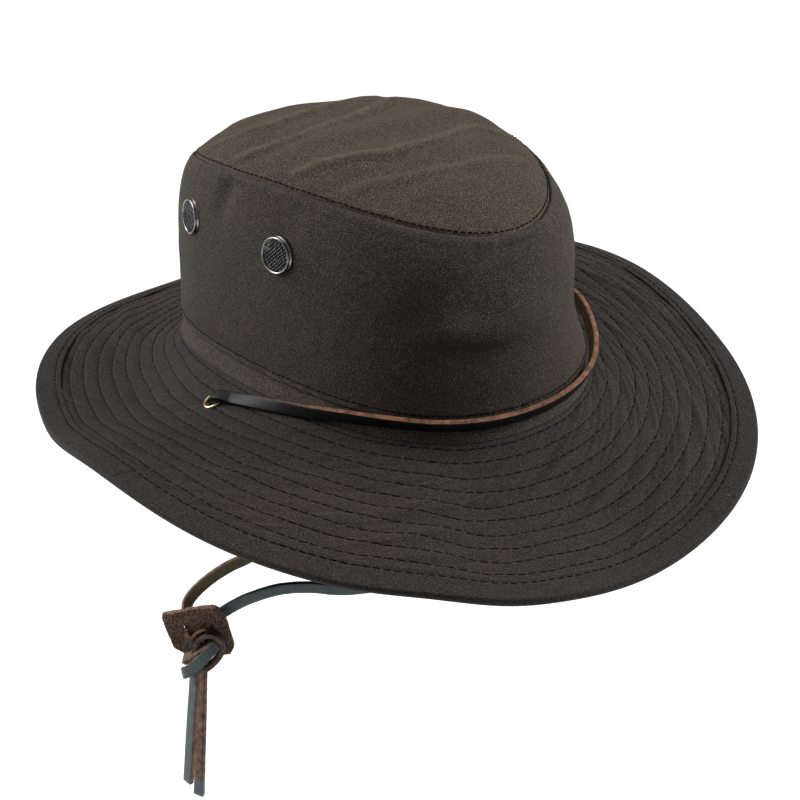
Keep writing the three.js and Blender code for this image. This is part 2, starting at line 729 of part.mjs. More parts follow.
// The held stretch: out of one eyelet, round the front of the crown and into the other
function laceRoundCrown(eyelets) {
  const [near, far] = eyelets;
  const sweep = sweepRound(eyelets);
  const first = laceRound[0].share;
  const halfLength = ((seamLength + seamWidth) * Math.PI) / 8;
  const steps = Math.round((halfLength * 1.1) / laceStep);
  const halves = [[near, 1], [far, -1]].map(([eyelet, way]) => {
    const round = [];
    for (let step = 0; step <= steps; step += 1) {
      const share = first + ((1 - first) * step) / steps;
      round.push(laceRoundStation(eyelet, share, way * sweep));
    }
    const lead = leadFrom(eyelet, round[0].place);
    const over = eyelet.lift + gap + eyeletFlange + gap + laceThickness / 2;
    const bend = [
      { depth: -laceThickness / 3, ahead: 0.04, up: 0 },
      { depth: over - laceThickness * 0.45, ahead: 0.04, up: 0.1 },
      { depth: over + laceThickness * 0.2, ahead: 0.5, up: 0.65 },
      { depth: over + laceThickness * 0.3, ahead: 1.1, up: 1 },
    ];
    const hole = bend.map((row) => ({
      place: throughEyelet(eyelet, row.depth).addScaledVector(lead, row.ahead * eyeletRadius),
      face: lead.clone().multiplyScalar(row.up - 1).addScaledVector(eyelet.normal, row.up).normalize(),
    }));
    return [...smoothStations([...hole, round[0]], laceStep / 2).slice(0, -1), ...round];
  });
  return laceBody([...halves[0], ...halves[1].reverse().slice(1)]);
}

// A place on the slider, from across, out and up
function onSlider([across, out, up]) {
  const turn = radians(sliderTurn);
  const acrossWay = new THREE.Vector3(Math.cos(turn), Math.sin(turn), 0);
  const outWay = new THREE.Vector3(Math.sin(turn), -Math.cos(turn), 0);
  return sliderPlace.clone().addScaledVector(acrossWay, across).addScaledVector(outWay, out)
    .add(new THREE.Vector3(0, 0, up));
}

function sliderWay([across, out, up]) {
  return onSlider([across, out, up]).sub(sliderPlace).normalize();
}

// Level direction that turns from out of the slider (0 degrees) to across it (90 degrees)
function sliderFace(turn) {
  return sliderWay([Math.sin(radians(turn)), Math.cos(radians(turn)), 0]);
}

// Middle of the lace in a slot, at a distance out from the middle of the slider
function inSlot(slot, out) {
  return [slot.across, out, slot.up - out * Math.tan(radians(slotDip))];
}

// A hanging stretch: down from an eyelet, along its route and through its slot
function laceStrand(eyelet, sweep, route, through, slot) {
  const lead = leadFrom(eyelet, laceRoundStation(eyelet, laceRound[0].share, sweep).place);
  const start = laceThickness / 3 + gap;
  const half = sliderThickness / 2;
  const rows = [start, start + 1.5, start + 3].map((depth) => ({ place: throughEyelet(eyelet, -depth), face: lead }));
  for (const place of route) rows.push({ place: new THREE.Vector3(...place), face: sliderWay([0, 1, 0]) });
  through.forEach((place, i) => rows.push({ place: onSlider(place), face: sliderFace((90 * (i + 1)) / through.length) }));
  for (const out of [-half - gap, 0, half + gap]) rows.push({ place: onSlider(inSlot(slot, out)), face: sliderFace(90) });
  return laceBody(smoothStations(rows, laceStep));
}

function slider() {
  const shape = new THREE.Shape(sliderOutline.map(([x, y]) => new THREE.Vector2(x, y)));
  for (const slot of slots) {
    const hole = new THREE.Path();
    const w = slotWidth / 2;
    const h = slotHeight / 2;
    hole.moveTo(slot.across - w, slot.up - h);
    hole.lineTo(slot.across - w, slot.up + h);
    hole.lineTo(slot.across + w, slot.up + h);
    hole.lineTo(slot.across + w, slot.up - h);
    shape.holes.push(hole);
  }
  const plate = new THREE.ExtrudeGeometry(shape, { depth: sliderThickness, bevelEnabled: false });
  plate.translate(0, 0, -sliderThickness / 2);
  plate.rotateX(Math.PI / 2);
  const mesh = makeMesh("lace_slider", plate, materials.suede);
  mesh.position.copy(sliderPlace);
  mesh.rotation.z = radians(sliderTurn);
  return mesh;
}

function knotFace(run, index, [across, , up]) {
  if (!run.middle) return sliderFace(run.turns[Math.min(index, run.turns.length - 1)]);
  return sliderWay([across - run.middle[0], 0, up - run.middle[1]]);
}

function knotRun(run) {
  const start = sliderThickness / 2 + 2 * gap;
  const slot = slots[run.from];
  const entry = slot ? [inSlot(slot, start), inSlot(slot, start + laceThickness)] : [];
  const rows = [...entry, ...run.places].map((place, i) => ({
    place: onSlider(place),
    face: knotFace(run, Math.max(0, i - entry.length / 2), place),
  }));
  return toSolid(laceBody(smoothStations(rows, laceStep)));
}

function knot() {
  const core = new THREE.SphereGeometry(1, 8, 6);
  core.scale(...knotCore.size);
  core.rotateZ(radians(sliderTurn));
  const place = onSlider(knotCore.place);
  core.translate(place.x, place.y, place.z);
  let solid = toSolid(core);
  for (const run of knotRuns) solid = solid.add(knotRun(run));
  return fromSolid(solid);
}

function tailBody(tail) {
  const rows = tail.places.map((place) => ({ place: onSlider(place), face: sliderFace(tailFace) }));
  return laceBody(smoothStations(rows, laceStep));
}

const hat = new THREE.Group();
const vents = ventSpots();
const eyelets = eyeletSpots();

hat.add(makeMesh("crown_side", crownSide(vents), materials.waxedCotton));
hat.add(makeMesh("crown_tip", crownTip(), materials.waxedCotton));
hat.add(makeMesh("crown_band", crownBand(), materials.waxedCottonEdge));
hat.add(makeMesh("brim", brim(eyelets), materials.waxedCotton));
hat.add(makeMesh("brim_binding", brimBinding(), materials.waxedCottonEdge));

for (const vent of vents) {
  const depth = clothThickness + gap + barrelReach;
  const name = `vent_rim_${vent.name}`;
  hat.add(seatOn(rolledRing(ventBore, ventBarrel, ventRadius, ventFlange, depth, name, materials.nickel), vent));
  hat.add(seatOn(gauzeDisc(`vent_mesh_${vent.name}`), vent));
}

for (const eyelet of eyelets) {
  const depth = brimThickness + gap;
  const name = `brim_eyelet_${eyelet.name}`;
  const ring = rolledRing(eyeletBore, eyeletBarrel, eyeletRadius, eyeletFlange, depth, name, materials.brass);
  hat.add(seatOn(ring, eyelet));
}

hat.add(makeMesh("lace_round_crown", laceRoundCrown(eyelets), materials.laceLeather));
const sweep = sweepRound(eyelets);
const nearStrand = laceStrand(eyelets[0], sweep, nearRoute, nearThrough, slots[0]);
const farStrand = laceStrand(eyelets[1], -sweep, farRoute, farThrough, slots[1]);
hat.add(makeMesh("lace_strand_near", nearStrand, materials.laceLeather));
hat.add(makeMesh("lace_strand_far", farStrand, materials.laceLeather));
hat.add(slider());
hat.add(makeMesh("lace_knot", knot(), materials.laceLeather));
for (const tail of tails) hat.add(makeMesh(tail.name, tailBody(tail), materials.laceLeather));

export default hat;
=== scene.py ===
# %% [markdown]
# # A bush hat of waxed cotton
# The real hat is cut from waxed cotton: an oval tip panel, a wall, a band and a wide brim that is
# held flat by rows of stitching. A flat leather lace runs round the front of the crown, through two
# brass eyelets and down to a suede slider and a knot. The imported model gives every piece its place
# and size. This script dresses it: cloth with real thickness, threads, metal and leather.

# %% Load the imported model, which never moves
import itertools
import math

import bpy
import numpy as np
from mathutils import Matrix, Vector


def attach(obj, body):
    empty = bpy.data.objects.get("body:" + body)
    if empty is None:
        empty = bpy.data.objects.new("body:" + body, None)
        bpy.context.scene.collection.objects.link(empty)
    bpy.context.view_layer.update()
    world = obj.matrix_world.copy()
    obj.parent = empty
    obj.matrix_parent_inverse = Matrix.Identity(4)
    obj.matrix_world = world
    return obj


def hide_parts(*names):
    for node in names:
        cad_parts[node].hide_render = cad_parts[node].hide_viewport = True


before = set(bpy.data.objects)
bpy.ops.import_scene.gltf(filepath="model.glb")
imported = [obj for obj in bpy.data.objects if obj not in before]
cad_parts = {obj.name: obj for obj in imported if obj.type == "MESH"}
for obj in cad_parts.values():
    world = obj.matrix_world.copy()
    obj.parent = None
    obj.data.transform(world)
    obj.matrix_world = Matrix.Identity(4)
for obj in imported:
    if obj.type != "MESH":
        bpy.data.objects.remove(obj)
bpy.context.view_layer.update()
MM = 0.001
print("nodes in the frame:", len(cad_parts))

# %% [markdown]
# ## The camera
# A camera could be aimed by eye, but the shape of an oval is easy to misjudge. These angles were
# worked out by matching seams and vents between the model and the photo, so they are kept as plain
# sizes: where the camera stands round the hat, how high, how far and how much it is rolled.

# %% The camera
camera_turn = math.radians(-36.843)
camera_height = math.radians(26.959)
camera_roll = math.radians(-1.626)
camera_distance = 734.7 * MM
aim_right = -7.824 * MM
aim_up = 27.925 * MM
pixels_per_metre = 2134
photo_width = 800
sensor_width = 36

level = Vector((math.cos(camera_turn), math.sin(camera_turn), 0))
back = Vector((
    math.sin(camera_turn) * math.cos(camera_height),
    -math.cos(camera_turn) * math.cos(camera_height),
    math.sin(camera_height),
))
upright = back.cross(level)
camera_right = level * math.cos(camera_roll) + upright * math.sin(camera_roll)
camera_up = upright * math.cos(camera_roll) - level * math.sin(camera_roll)
lens = bpy.data.cameras.new("camera")
lens.sensor_width = sensor_width
lens.lens = pixels_per_metre * camera_distance / photo_width * sensor_width
camera = bpy.data.objects.new("camera", lens)
bpy.context.collection.objects.link(camera)
axes = Matrix((camera_right, camera_up, back)).transposed().to_4x4()
place = back * camera_distance - camera_right * aim_right - camera_up * aim_up
camera.matrix_world = Matrix.Translation(place) @ axes
bpy.context.scene.camera = camera
print("lens in millimetres:", round(lens.lens, 2))

# %% [markdown]
# ## Sizes
# The hat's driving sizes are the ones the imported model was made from, in millimetres. Angles go
# round the crown in degrees: 0 is the wearer's left, 90 the rear, 180 the wearer's right.

# %% Sizes of the crown and brim
cloth_thickness = 1.6
brim_thickness = 2.4
seam_length = 210
seam_width = 159
crown_girth = math.pi * (seam_length + seam_width) / 2
seam_saddle = 4
crown_egg = 0.07
crown_fullness = 0.03
band_height = 9.5
band_lap = 5
band_inset = 1.6
crown_height = 86.3
tip_length = 177
tip_width = 136
tip_egg = 0.187
tip_fullness = 0.013
tip_saddle = 6.6
tip_lean = -3.2
tip_shift = -1.7
dome_height = 19.5
dome_roundness = 3.3
dome_rearward = 0.17
welt_height = 4
welt_rise = 0.5
welt_reach = 1.4
brim_width = 81.5
binding_width = 12.5

# %% Tables: the wall's profile, its dents, the tip's folds and the brim's slopes
wall_profile = {
    "height": [0, 0.25, 0.5, 0.7, 0.85, 0.95, 1],
    "inset": [0, 0.04, 0.12, 0.25, 0.5, 0.78, 1],
}
wall_dents = [
    {"angle": 262, "height": 0.8, "slant": 32, "long": 0.55, "short": 0.13, "depth": 0.04},
    {"angle": 249, "height": 0.42, "slant": 8, "long": 0.2, "short": 0.07, "depth": 0.035},
    {"angle": 243, "height": 0.53, "slant": 8, "long": 0.14, "short": 0.07, "depth": -0.016},
    {"angle": 269, "height": 0.58, "slant": -20, "long": 0.22, "short": 0.12, "depth": -0.02},
    {"angle": 174, "height": 0.9, "slant": 80, "long": 0.14, "short": 0.06, "depth": 0.014},
    {"angle": 320, "height": 0.42, "slant": 0, "long": 0.45, "short": 0.32, "depth": 0.07},
    {"angle": 70, "height": 0.5, "slant": 20, "long": 0.4, "short": 0.16, "depth": 0.025},
    {"angle": 42, "height": 0.78, "slant": -30, "long": 0.3, "short": 0.13, "depth": 0.025},
]
wall_creases = [
    {"angle": 252, "height": 0.47, "slant": 6, "long": 0.26, "short": 0.1, "depth": -0.042},
    {"angle": 246, "height": 0.33, "slant": 8, "long": 0.24, "short": 0.07, "depth": 0.012},
    {"angle": 249, "height": 0.74, "slant": 30, "long": 0.4, "short": 0.09, "depth": 0.014},
    {"angle": 174, "height": 0.87, "slant": 80, "long": 0.16, "short": 0.05, "depth": 0.014},
    {"angle": 196, "height": 0.8, "slant": 60, "long": 0.16, "short": 0.07, "depth": 0.01},
]
tip_folds = [
    {"place": 0.62, "slant": 0.18, "width": 0.13, "height": 0.1},
    {"place": 0.31, "slant": 0.12, "width": 0.12, "height": 0.12},
    {"place": -0.09, "slant": 0.07, "width": 0.12, "height": 0.13},
    {"place": -0.4, "slant": -0.1, "width": 0.1, "height": 0.08},
]
brim_slopes = {
    "at_crown": [10, 9, 13, 27, 49, 82, 50, 21, 32, 44, 32, 18],
    "middle": [0, 2, 6, 11, 7, 8, -3, 8, 15, 28, 23, 12],
    "at_edge": [21, 23, 24, 23, 18, 11, 14, 20, 15, 7, 11, 16],
}
brim_waves = [
    {"angle": 236, "out": 0.62, "wide": 7, "long": 0.4, "lift": 0.03},
    {"angle": 246, "out": 0.62, "wide": 8, "long": 0.4, "lift": -0.03},
]


# %% Reading a table, smoothly between its rows
def curve_between(share, start, end, slope_start, slope_end):
    """A cubic from start to end that has a given slope at both, as share goes from 0 to 1."""
    bend = 2 * (start - end) + slope_start + slope_end
    lift = 3 * (end - start) - 2 * slope_start - slope_end
    return ((bend * share + lift) * share + slope_start) * share + start


def read_table(table, key, column, value):
    keys = np.array(table[key], float)
    values = np.array(table[column], float)
    slopes = np.diff(values) / np.diff(keys)
    slopes = np.concatenate([slopes[:1], (slopes[1:] + slopes[:-1]) / 2, slopes[-1:]])
    value = np.clip(value, keys[0], keys[-1])
    row = np.clip(np.searchsorted(keys, value, side="right") - 1, 0, len(keys) - 2)
    span = keys[row + 1] - keys[row]
    share = (value - keys[row]) / span
    return curve_between(share, values[row], values[row + 1], slopes[row] * span, slopes[row + 1] * span)


def read_round(values, angle):
    values = np.array(values, float)
    place = (np.asarray(angle) / 360 % 1) * len(values)
    row = np.floor(place).astype(int)
    before, start, end, after = (values[(row + step) % len(values)] for step in (-1, 0, 1, 2))
    return curve_between(place - row, start, end, (end - before) / 2, (after - start) / 2)


# %% [markdown]
# ## Faces of the cloth as functions
# A crown could be modelled from a stretched cylinder, but then its seams, dents and stitches would
# each need placing by hand. Here each face is a function of two values, such as the angle round the
# crown and the height up the wall. A mesh samples the function, and so does every stitch on it.

# %% The crown's seam and the tip's edge
def unit(vectors):
    return vectors / np.linalg.norm(vectors, axis=-1, keepdims=True)


def points_from(x, y, z):
    return np.stack(np.broadcast_arrays(x, y, z), axis=-1).astype(float)


def on_grid(first, second):
    return np.broadcast_arrays(np.asarray(first, float), np.asarray(second, float))


def oval(angle, length, width, egg, fullness):
    turn = np.radians(angle)
    across = (np.cos(turn) - fullness * np.cos(3 * turn)) / (1 - fullness)
    along = (np.sin(turn) + fullness * np.sin(3 * turn)) / (1 - fullness)
    return width / 2 * across * (1 + egg * np.sin(turn)), length / 2 * along


def seam_point(angle):
    x, y = oval(angle, seam_length, seam_width, crown_egg, crown_fullness)
    return points_from(x, y, seam_saddle * np.cos(2 * np.radians(angle)))


def outward(angle):
    angle = np.asarray(angle, float)
    step = 0.01
    along = seam_point(angle + step) - seam_point(angle - step)
    return unit(points_from(along[..., 1], -along[..., 0], 0))


def tip_edge(angle):
    x, y = oval(angle, tip_length, tip_width, tip_egg, tip_fullness)
    saddle = tip_saddle * np.cos(2 * np.radians(angle))
    return points_from(x, y + tip_shift, crown_height + saddle + math.tan(math.radians(tip_lean)) * x)


# %% The wall of the crown
def angle_between(angle, other):
    return (np.asarray(angle) - other + 540) % 360 - 180


def dent_depth(dents, angle, height):
    fade = np.clip(np.minimum(height / 0.12, (1 - height) / 0.08), 0, 1)
    depth = 0
    for dent in dents:
        across = angle_between(angle, dent["angle"]) / 360 * crown_girth
        rise = (height - dent["height"]) * crown_height
        slant = math.radians(dent["slant"])
        along = (across * math.cos(slant) + rise * math.sin(slant)) / (dent["long"] * crown_height)
        beside = (rise * math.cos(slant) - across * math.sin(slant)) / (dent["short"] * crown_height)
        depth = depth + dent["depth"] * crown_height * np.exp(-along**2 - beside**2)
    return depth * fade


def smooth_step(value):
    value = np.clip(value, 0, 1)
    return value * value * (3 - 2 * value)


def wall_point(angle, height):
    out = outward(angle)
    foot = seam_point(angle) - band_inset * out
    foot[..., 2] += band_height
    top = tip_edge(angle)
    inset = read_table(wall_profile, "height", "inset", height)[..., None]
    point = foot + (top - foot) * inset
    point[..., 2] = foot[..., 2] + (top[..., 2] - foot[..., 2]) * height
    welt = welt_rise * smooth_step((height - 1) * crown_height / welt_height + welt_reach)
    return point + (welt - dent_depth(wall_dents, angle, height))[..., None] * out


# %% The tip panel and the brim
calm_way = (0.6, 0.8)
calm_start = 30
calm_span = 30
calm_most = 0.8


def far_calm(x, y):
    """The folds fade toward the rear on the wearer's left, where the tip's outline is smooth."""
    return 1 - calm_most * smooth_step((calm_way[0] * x + calm_way[1] * y - calm_start) / calm_span)


def tip_point(angle, share):
    edge = tip_edge(angle)
    x = edge[..., 0] * share
    y = (edge[..., 1] - tip_shift) * share + tip_shift
    z = crown_height + math.tan(math.radians(tip_lean)) * x
    z = z + tip_saddle * share**2 * np.cos(2 * np.radians(angle))
    half_length = tip_length / 2
    z = z + dome_height * (1 - share**dome_roundness) * (1 + dome_rearward * y / half_length)
    calm = (1 - share**6) * far_calm(x, y)
    for fold in tip_folds:
        off = (y - fold["place"] * half_length - fold["slant"] * x) / (fold["width"] * half_length)
        z = z + fold["height"] * dome_height * np.exp(-off * off) * calm
    return points_from(x, y, z)


def brim_point(angle, out):
    angle, out = on_grid(angle, out)
    at_crown, middle, at_edge = (read_round(brim_slopes[row], angle) for row in brim_slopes)
    steps = 22
    reach = np.zeros(out.shape)
    drop = np.zeros(out.shape)
    for step in range(steps):
        share = (step + 0.5) / steps * out / brim_width
        slope = at_crown * (1 - share) * (1 - 2 * share) + middle * 4 * share * (1 - share)
        slope = np.radians(slope + at_edge * share * (2 * share - 1))
        reach += np.cos(slope) * out / steps
        drop += np.sin(slope) * out / steps
    point = seam_point(angle) + reach[..., None] * outward(angle)
    point[..., 2] -= drop
    for wave in brim_waves:
        across = angle_between(angle, wave["angle"]) / wave["wide"]
        along = (out / brim_width - wave["out"]) / wave["long"]
        point[..., 2] += wave["lift"] * brim_width * np.exp(-across**2 - along**2)
    return point


def face_normal(face, u, v, step_u, step_v):
    along_u = face(u + step_u, v) - face(u - step_u, v)
    along_v = face(u, v + step_v) - face(u, v - step_v)
    return unit(np.cross(along_u, along_v))


def wall_normal(angle, height):
    height = np.clip(height, 0.01, 1 - 2 * welt_height / crown_height)
    return face_normal(wall_point, np.asarray(angle, float), height, 0.5, 0.01)


def tip_normal(angle, share):
    return -face_normal(tip_point, np.asarray(angle, float), np.clip(share, 0.03, 0.96), 0.5, 0.01)


def brim_normal(angle, out):
    out = np.clip(out, 0.5, brim_width - 0.5)
    return -face_normal(brim_point, np.asarray(angle, float), out, 0.5, 0.5)


# %% [markdown]
# ## The route of the lace
# The lace is one flat strip of leather, so it is settled first, as a cord designer would: it leaves
# each eyelet downward, swings in under the brim and meets the slider from behind. A curve object
# with a bevel can't show grain on one side and raw flesh on the other, so each stretch is a mesh
# strip along stations, each of which has a place and the way its face looks.

# %% Sizes and stations of the lace
lace_width = 5.5
lace_thickness = 2.5
lace_gap = 0.3
eyelet_ahead = 2
eyelet_out = 13.5
eyelet_radius = 4.9
eyelet_flange = 0.9
side_middle = 175.5
eyelet_angles = {"right": side_middle + eyelet_ahead, "left": 180 - side_middle - eyelet_ahead}
sweep = 360 + eyelet_angles["left"] - eyelet_angles["right"]
slider_place = np.array([-104.0, 15.0, -126.0])
slider_turn = math.radians(-36.8)
slider_thickness = 3
slots = [(-5, -0.4), (5, -0.6)]
slot_dip = math.tan(math.radians(18))
lace_round = {
    "share": [0.05, 0.12, 0.2, 0.265, 0.325, 0.4, 0.52, 0.64, 1],
    "right_height": [-0.23, 0.1, 0.4, 0.56, 0.75, 0.96, 1.15, 1.18, 1.18],
    "right_off": [0.98, 0.81, 0.6, 0.4, 0.33, 0.28, 0.3, 0.3, 0.3],
    "right_face": [55, 36, 19, 5, -5, -12, -21, -24, -24],
    "left_height": [0.35, 0.8, 1.08, 1.16, 1.18, 1.18, 1.18, 1.18, 1.18],
    "left_off": [2, 2.3, 2.15, 1.85, 1.45, 1, 0.6, 0.42, 0.3],
    "left_face": [40, 20, 0, -10, -16, -20, -23, -24, -24],
}
near_route = [
    (-84, 7, -14), (-79, 4, -24), (-75, -1, -36), (-72, -5, -48), (-71, -9, -60), (-73, -10.5, -70),
    (-78, -8, -79), (-85, -1.8, -85.3), (-90.1, 4.6, -90.5), (-95.4, 12.3, -98.2), (-100.7, 18.3, -106.1),
]
far_route = [
    (94, 7, -10), (92.5, 3, -24), (88, -3, -42), (78, -11, -60), (62, -21, -78), (42, -30, -91),
    (20, -36, -99), (0, -38, -103), (-20, -37, -105), (-36, -33, -105.5), (-49.2, -26, -105),
    (-60.4, -17.6, -103.2), (-71.7, -9.2, -103.8), (-82.7, 0.3, -109), (-87.6, 6.5, -114.1),
    (-90.7, 11.3, -118.8),
]
near_through = [(-3.7, -5.4, 13.9), (-5, -5.8, 10.2), (-5.6, -5.8, 6.2), (-5.2, -4.4, 2)]
far_through = [(9.8, -6.2, 4.2), (7.2, -6.2, 2), (5.5, -4.6, 0.8)]
tail_places = {
    "short": [(-3, 5.6, -24.3), (-6.5, 5.4, -48.8), (-11.6, 5, -87.2)],
    "long": [(-0.2, -0.6, -24.3), (-2.9, -0.6, -52.5), (-7.9, -0.6, -100.4)],
}
tail_turns = {"short": (-43, -43), "long": (-38, -26)}


def spot_on(face, normal, u, v, radius, step_v):
    """A seat on a curved face, with how far the face swells above its level within a radius."""
    u, v = np.float64(u), np.float64(v)
    spot = face(u, v)
    level = normal(u, v)
    along_u = np.linalg.norm(face(u + 0.5, v) - face(u - 0.5, v))
    along_v = np.linalg.norm(face(u, v + step_v) - face(u, v - step_v)) / (2 * step_v)
    turns = np.arange(12) * math.pi / 6
    around = face(u + radius * np.cos(turns) / along_u, v + radius * np.sin(turns) / along_v)
    return {"place": spot, "normal": level, "lift": max(0, ((around - spot) @ level).max())}


eyelets = {}
for name, angle in eyelet_angles.items():
    eyelets[name] = spot_on(brim_point, brim_normal, angle, eyelet_out, eyelet_radius, 0.5)
    print("eyelet", name, eyelets[name]["place"].round(1))


# %% Smooth curves through a few stations
def through_points(points, places):
    """A centripetal curve through points, read at places counted in points."""
    points = np.asarray(points, float)
    first = 2 * points[0] - points[1]
    last = 2 * points[-1] - points[-2]
    padded = np.vstack([first, points, last])
    result = []
    for at in places:
        row = min(int(at), len(points) - 2)
        p0, p1, p2, p3 = padded[row:row + 4]
        gaps = [max(np.linalg.norm(b - a), 1e-8) ** 0.5 for a, b in ((p0, p1), (p1, p2), (p2, p3))]
        before, here, after = (gap if gap > 1e-4 else 1.0 for gap in gaps)
        start = ((p1 - p0) / before - (p2 - p0) / (before + here) + (p2 - p1) / here) * here
        end = ((p2 - p1) / here - (p3 - p1) / (here + after) + (p3 - p2) / after) * here
        result.append(curve_between(at - row, p1, p2, start, end))
    return np.array(result)


def smooth_stations(rows, spacing):
    centres = np.array([row[0] for row in rows], float)
    faces = np.array([row[1] for row in rows], float)
    places = []
    for row in range(len(rows) - 1):
        steps = max(1, round(np.linalg.norm(centres[row + 1] - centres[row]) / spacing))
        places += [row + step / steps for step in range(steps)]
    places.append(len(rows) - 1)
    return list(zip(through_points(centres, places), through_points(faces, places)))


# %% The lace round the crown, which lies on the band and rests on the brim
def lace_corners(middle, across, face):
    half = lace_width / 2
    thick = lace_thickness / 2
    return [middle + across * x + face * y for x in (-half, half) for y in (-thick, thick)]


def sunk_in_brim(angle, point):
    seam = seam_point(angle)
    off = np.hypot(*(point - seam)[:2]) * np.sign((point - seam) @ outward(angle))
    if off <= 0:
        return 0
    out = off
    for _ in range(3):
        under = brim_point(angle, out)
        out += off - np.hypot(*(under - seam)[:2])
    return max(0, brim_point(angle, out)[2] + lace_gap - point[2])


def lace_round_station(side, share):
    way = 1 if side == "right" else -1
    angle = np.float64(eyelet_angles[side] + way * share * sweep / 2)
    out = outward(angle)
    turn = math.radians(read_table(lace_round, "share", f"{side}_face", share))
    face = out * math.cos(turn) + np.array([0, 0, math.sin(turn)])
    rise = np.array([0, 0, math.cos(turn)]) - out * math.sin(turn)
    middle = seam_point(angle) + out * read_table(lace_round, "share", f"{side}_off", share) * lace_width
    middle = middle - rise * lace_width / 2
    middle[2] += read_table(lace_round, "share", f"{side}_height", share) * band_height
    middle[2] += max(sunk_in_brim(angle, corner) for corner in lace_corners(middle, rise, face))
    return middle, face


def lead_from(side):
    eyelet = eyelets[side]
    lead = lace_round_station(side, lace_round["share"][0])[0] - eyelet["place"]
    return unit(lead - eyelet["normal"] * (lead @ eyelet["normal"]))


def half_round(side):
    eyelet = eyelets[side]
    lead = lead_from(side)
    over = eyelet["lift"] + 2 * lace_gap + eyelet_flange + lace_thickness / 2
    high = over / lace_thickness
    bends = [(-1 / 3, 0.04, 0), (high - 0.45, 0.04, 0.1), (high + 0.2, 0.5, 0.65), (high + 0.3, 1.1, 1)]
    rows = []
    for depth, ahead, rise in bends:
        middle = eyelet["place"] + eyelet["normal"] * depth * lace_thickness + lead * ahead * eyelet_radius
        rows.append((middle, unit(lead * (rise - 1) + eyelet["normal"] * rise)))
    first = lace_round["share"][0]
    shares = np.linspace(first, 1, 70)
    lying = [lace_round_station(side, share) for share in shares]
    return smooth_stations(rows + lying[:1], 1)[:-1] + lying


round_stations = half_round("right") + half_round("left")[::-1][1:]
print("stations of the lace round the crown:", len(round_stations))


# %% The hanging stretches and the tails, in the slider's own directions
slider_across = np.array([math.cos(slider_turn), math.sin(slider_turn), 0])
slider_out = np.array([math.sin(slider_turn), -math.cos(slider_turn), 0])


def on_slider(local):
    across, out, rise = local
    return slider_place + across * slider_across + out * slider_out + np.array([0, 0, rise])


def slider_face(turn):
    turn = math.radians(turn)
    return math.sin(turn) * slider_across + math.cos(turn) * slider_out


def in_slot(slot, out):
    return (slot[0], out, slot[1] - out * slot_dip)


def strand_stations(side, route, through, slot):
    eyelet = eyelets[side]
    start = lace_thickness / 3 + lace_gap
    rows = [(eyelet["place"] - eyelet["normal"] * (start + more), lead_from(side)) for more in (0, 1.5, 3)]
    rows += [(np.array(point, float), slider_out) for point in route]
    for step, point in enumerate(through):
        rows.append((on_slider(point), slider_face(90 * (step + 1) / len(through))))
    reach = slider_thickness / 2 + lace_gap
    rows += [(on_slider(in_slot(slot, out)), slider_face(90)) for out in (-reach, 0, reach)]
    return smooth_stations(rows, 1.8)


near_stations = strand_stations("right", near_route, near_through, slots[0])
far_stations = strand_stations("left", far_route, far_through, slots[1])


def tail_stations_of(name):
    """A free end that keeps its way of facing for most of its length and then twists."""
    start, end = tail_turns[name]
    centres = [on_slider(point) for point in tail_places[name]]
    stations = smooth_stations([(centre, slider_out) for centre in centres], 2.5)
    shares = np.linspace(0, 1, len(stations)) ** 5
    faces = [slider_face(start + (end - start) * share) for share in shares]
    return [(centre, face) for (centre, _), face in zip(stations, faces)]


tail_stations = {name: tail_stations_of(name) for name in tail_places}


def route_length(stations):
    centres = np.array([station[0] for station in stations])
    return np.linalg.norm(np.diff(centres, axis=0), axis=1).sum()


for name, stations in {"near": near_stations, "far": far_stations, **tail_stations}.items():
    print("length of", name, round(route_length(stations), 1))

# %% [markdown]
# ## Shader groups that several materials share
# Waxed cotton, leather and suede all need grain at a real scale. Painting that into each material
# would repeat the same nodes, so each effect is one node group with its own inputs.

# %% Small helpers for building node trees
def add_node(tree, kind, **settings):
    node = tree.nodes.new(kind)
    for name, value in settings.items():
        setattr(node, name, value)
    return node


def feed(tree, socket, value):
    """Gives a socket a number, a colour or what comes out of another node."""
    if isinstance(value, bpy.types.NodeSocket):
        tree.links.new(value, socket)
    else:
        socket.default_value = (*value, 1) if isinstance(value, tuple) else value


def set_inputs(tree, node, **values):
    for name, value in values.items():
        feed(tree, node.inputs[name.replace("_", " ")], value)
    return node


def calculate(tree, operation, *values, clamp=False):
    node = add_node(tree, "ShaderNodeMath", operation=operation, use_clamp=clamp)
    for socket, value in zip(node.inputs, values):
        feed(tree, socket, value)
    return node.outputs[0]


def scaled(tree, value, factor, plus=0.0, clamp=False):
    return calculate(tree, "MULTIPLY_ADD", value, factor, plus, clamp=clamp)


def spread(tree, value, middle, gain, base=0.5):
    """Widens a value's spread about its middle, which becomes the base, and keeps it from 0 to 1."""
    return scaled(tree, value, gain, base - middle * gain, clamp=True)


def share_out(tree, first, second, share):
    """A share of the first value, and the rest from the second."""
    return scaled(tree, first, share, scaled(tree, second, 1 - share))


def new_group(name, inputs, outputs):
    tree = bpy.data.node_groups.new(name, "ShaderNodeTree")
    for label, value in inputs.items():
        socket = tree.interface.new_socket(name=label, in_out="INPUT", socket_type="NodeSocketFloat")
        socket.default_value = value
    for label in outputs:
        tree.interface.new_socket(name=label, in_out="OUTPUT", socket_type="NodeSocketFloat")
    return tree, tree.nodes.new("NodeGroupInput"), tree.nodes.new("NodeGroupOutput")


def per_metre(tree, taken):
    """How many grains a metre holds, from a group's first input, which is a size in millimetres."""
    return calculate(tree, "DIVIDE", 1000, taken.outputs[0])


def texture(tree, kind, **values):
    """A texture that is fixed to the object, so that its scale is in metres of the real hat."""
    place = add_node(tree, "ShaderNodeTexCoord").outputs["Object"]
    return set_inputs(tree, add_node(tree, kind), Vector=place, **values).outputs


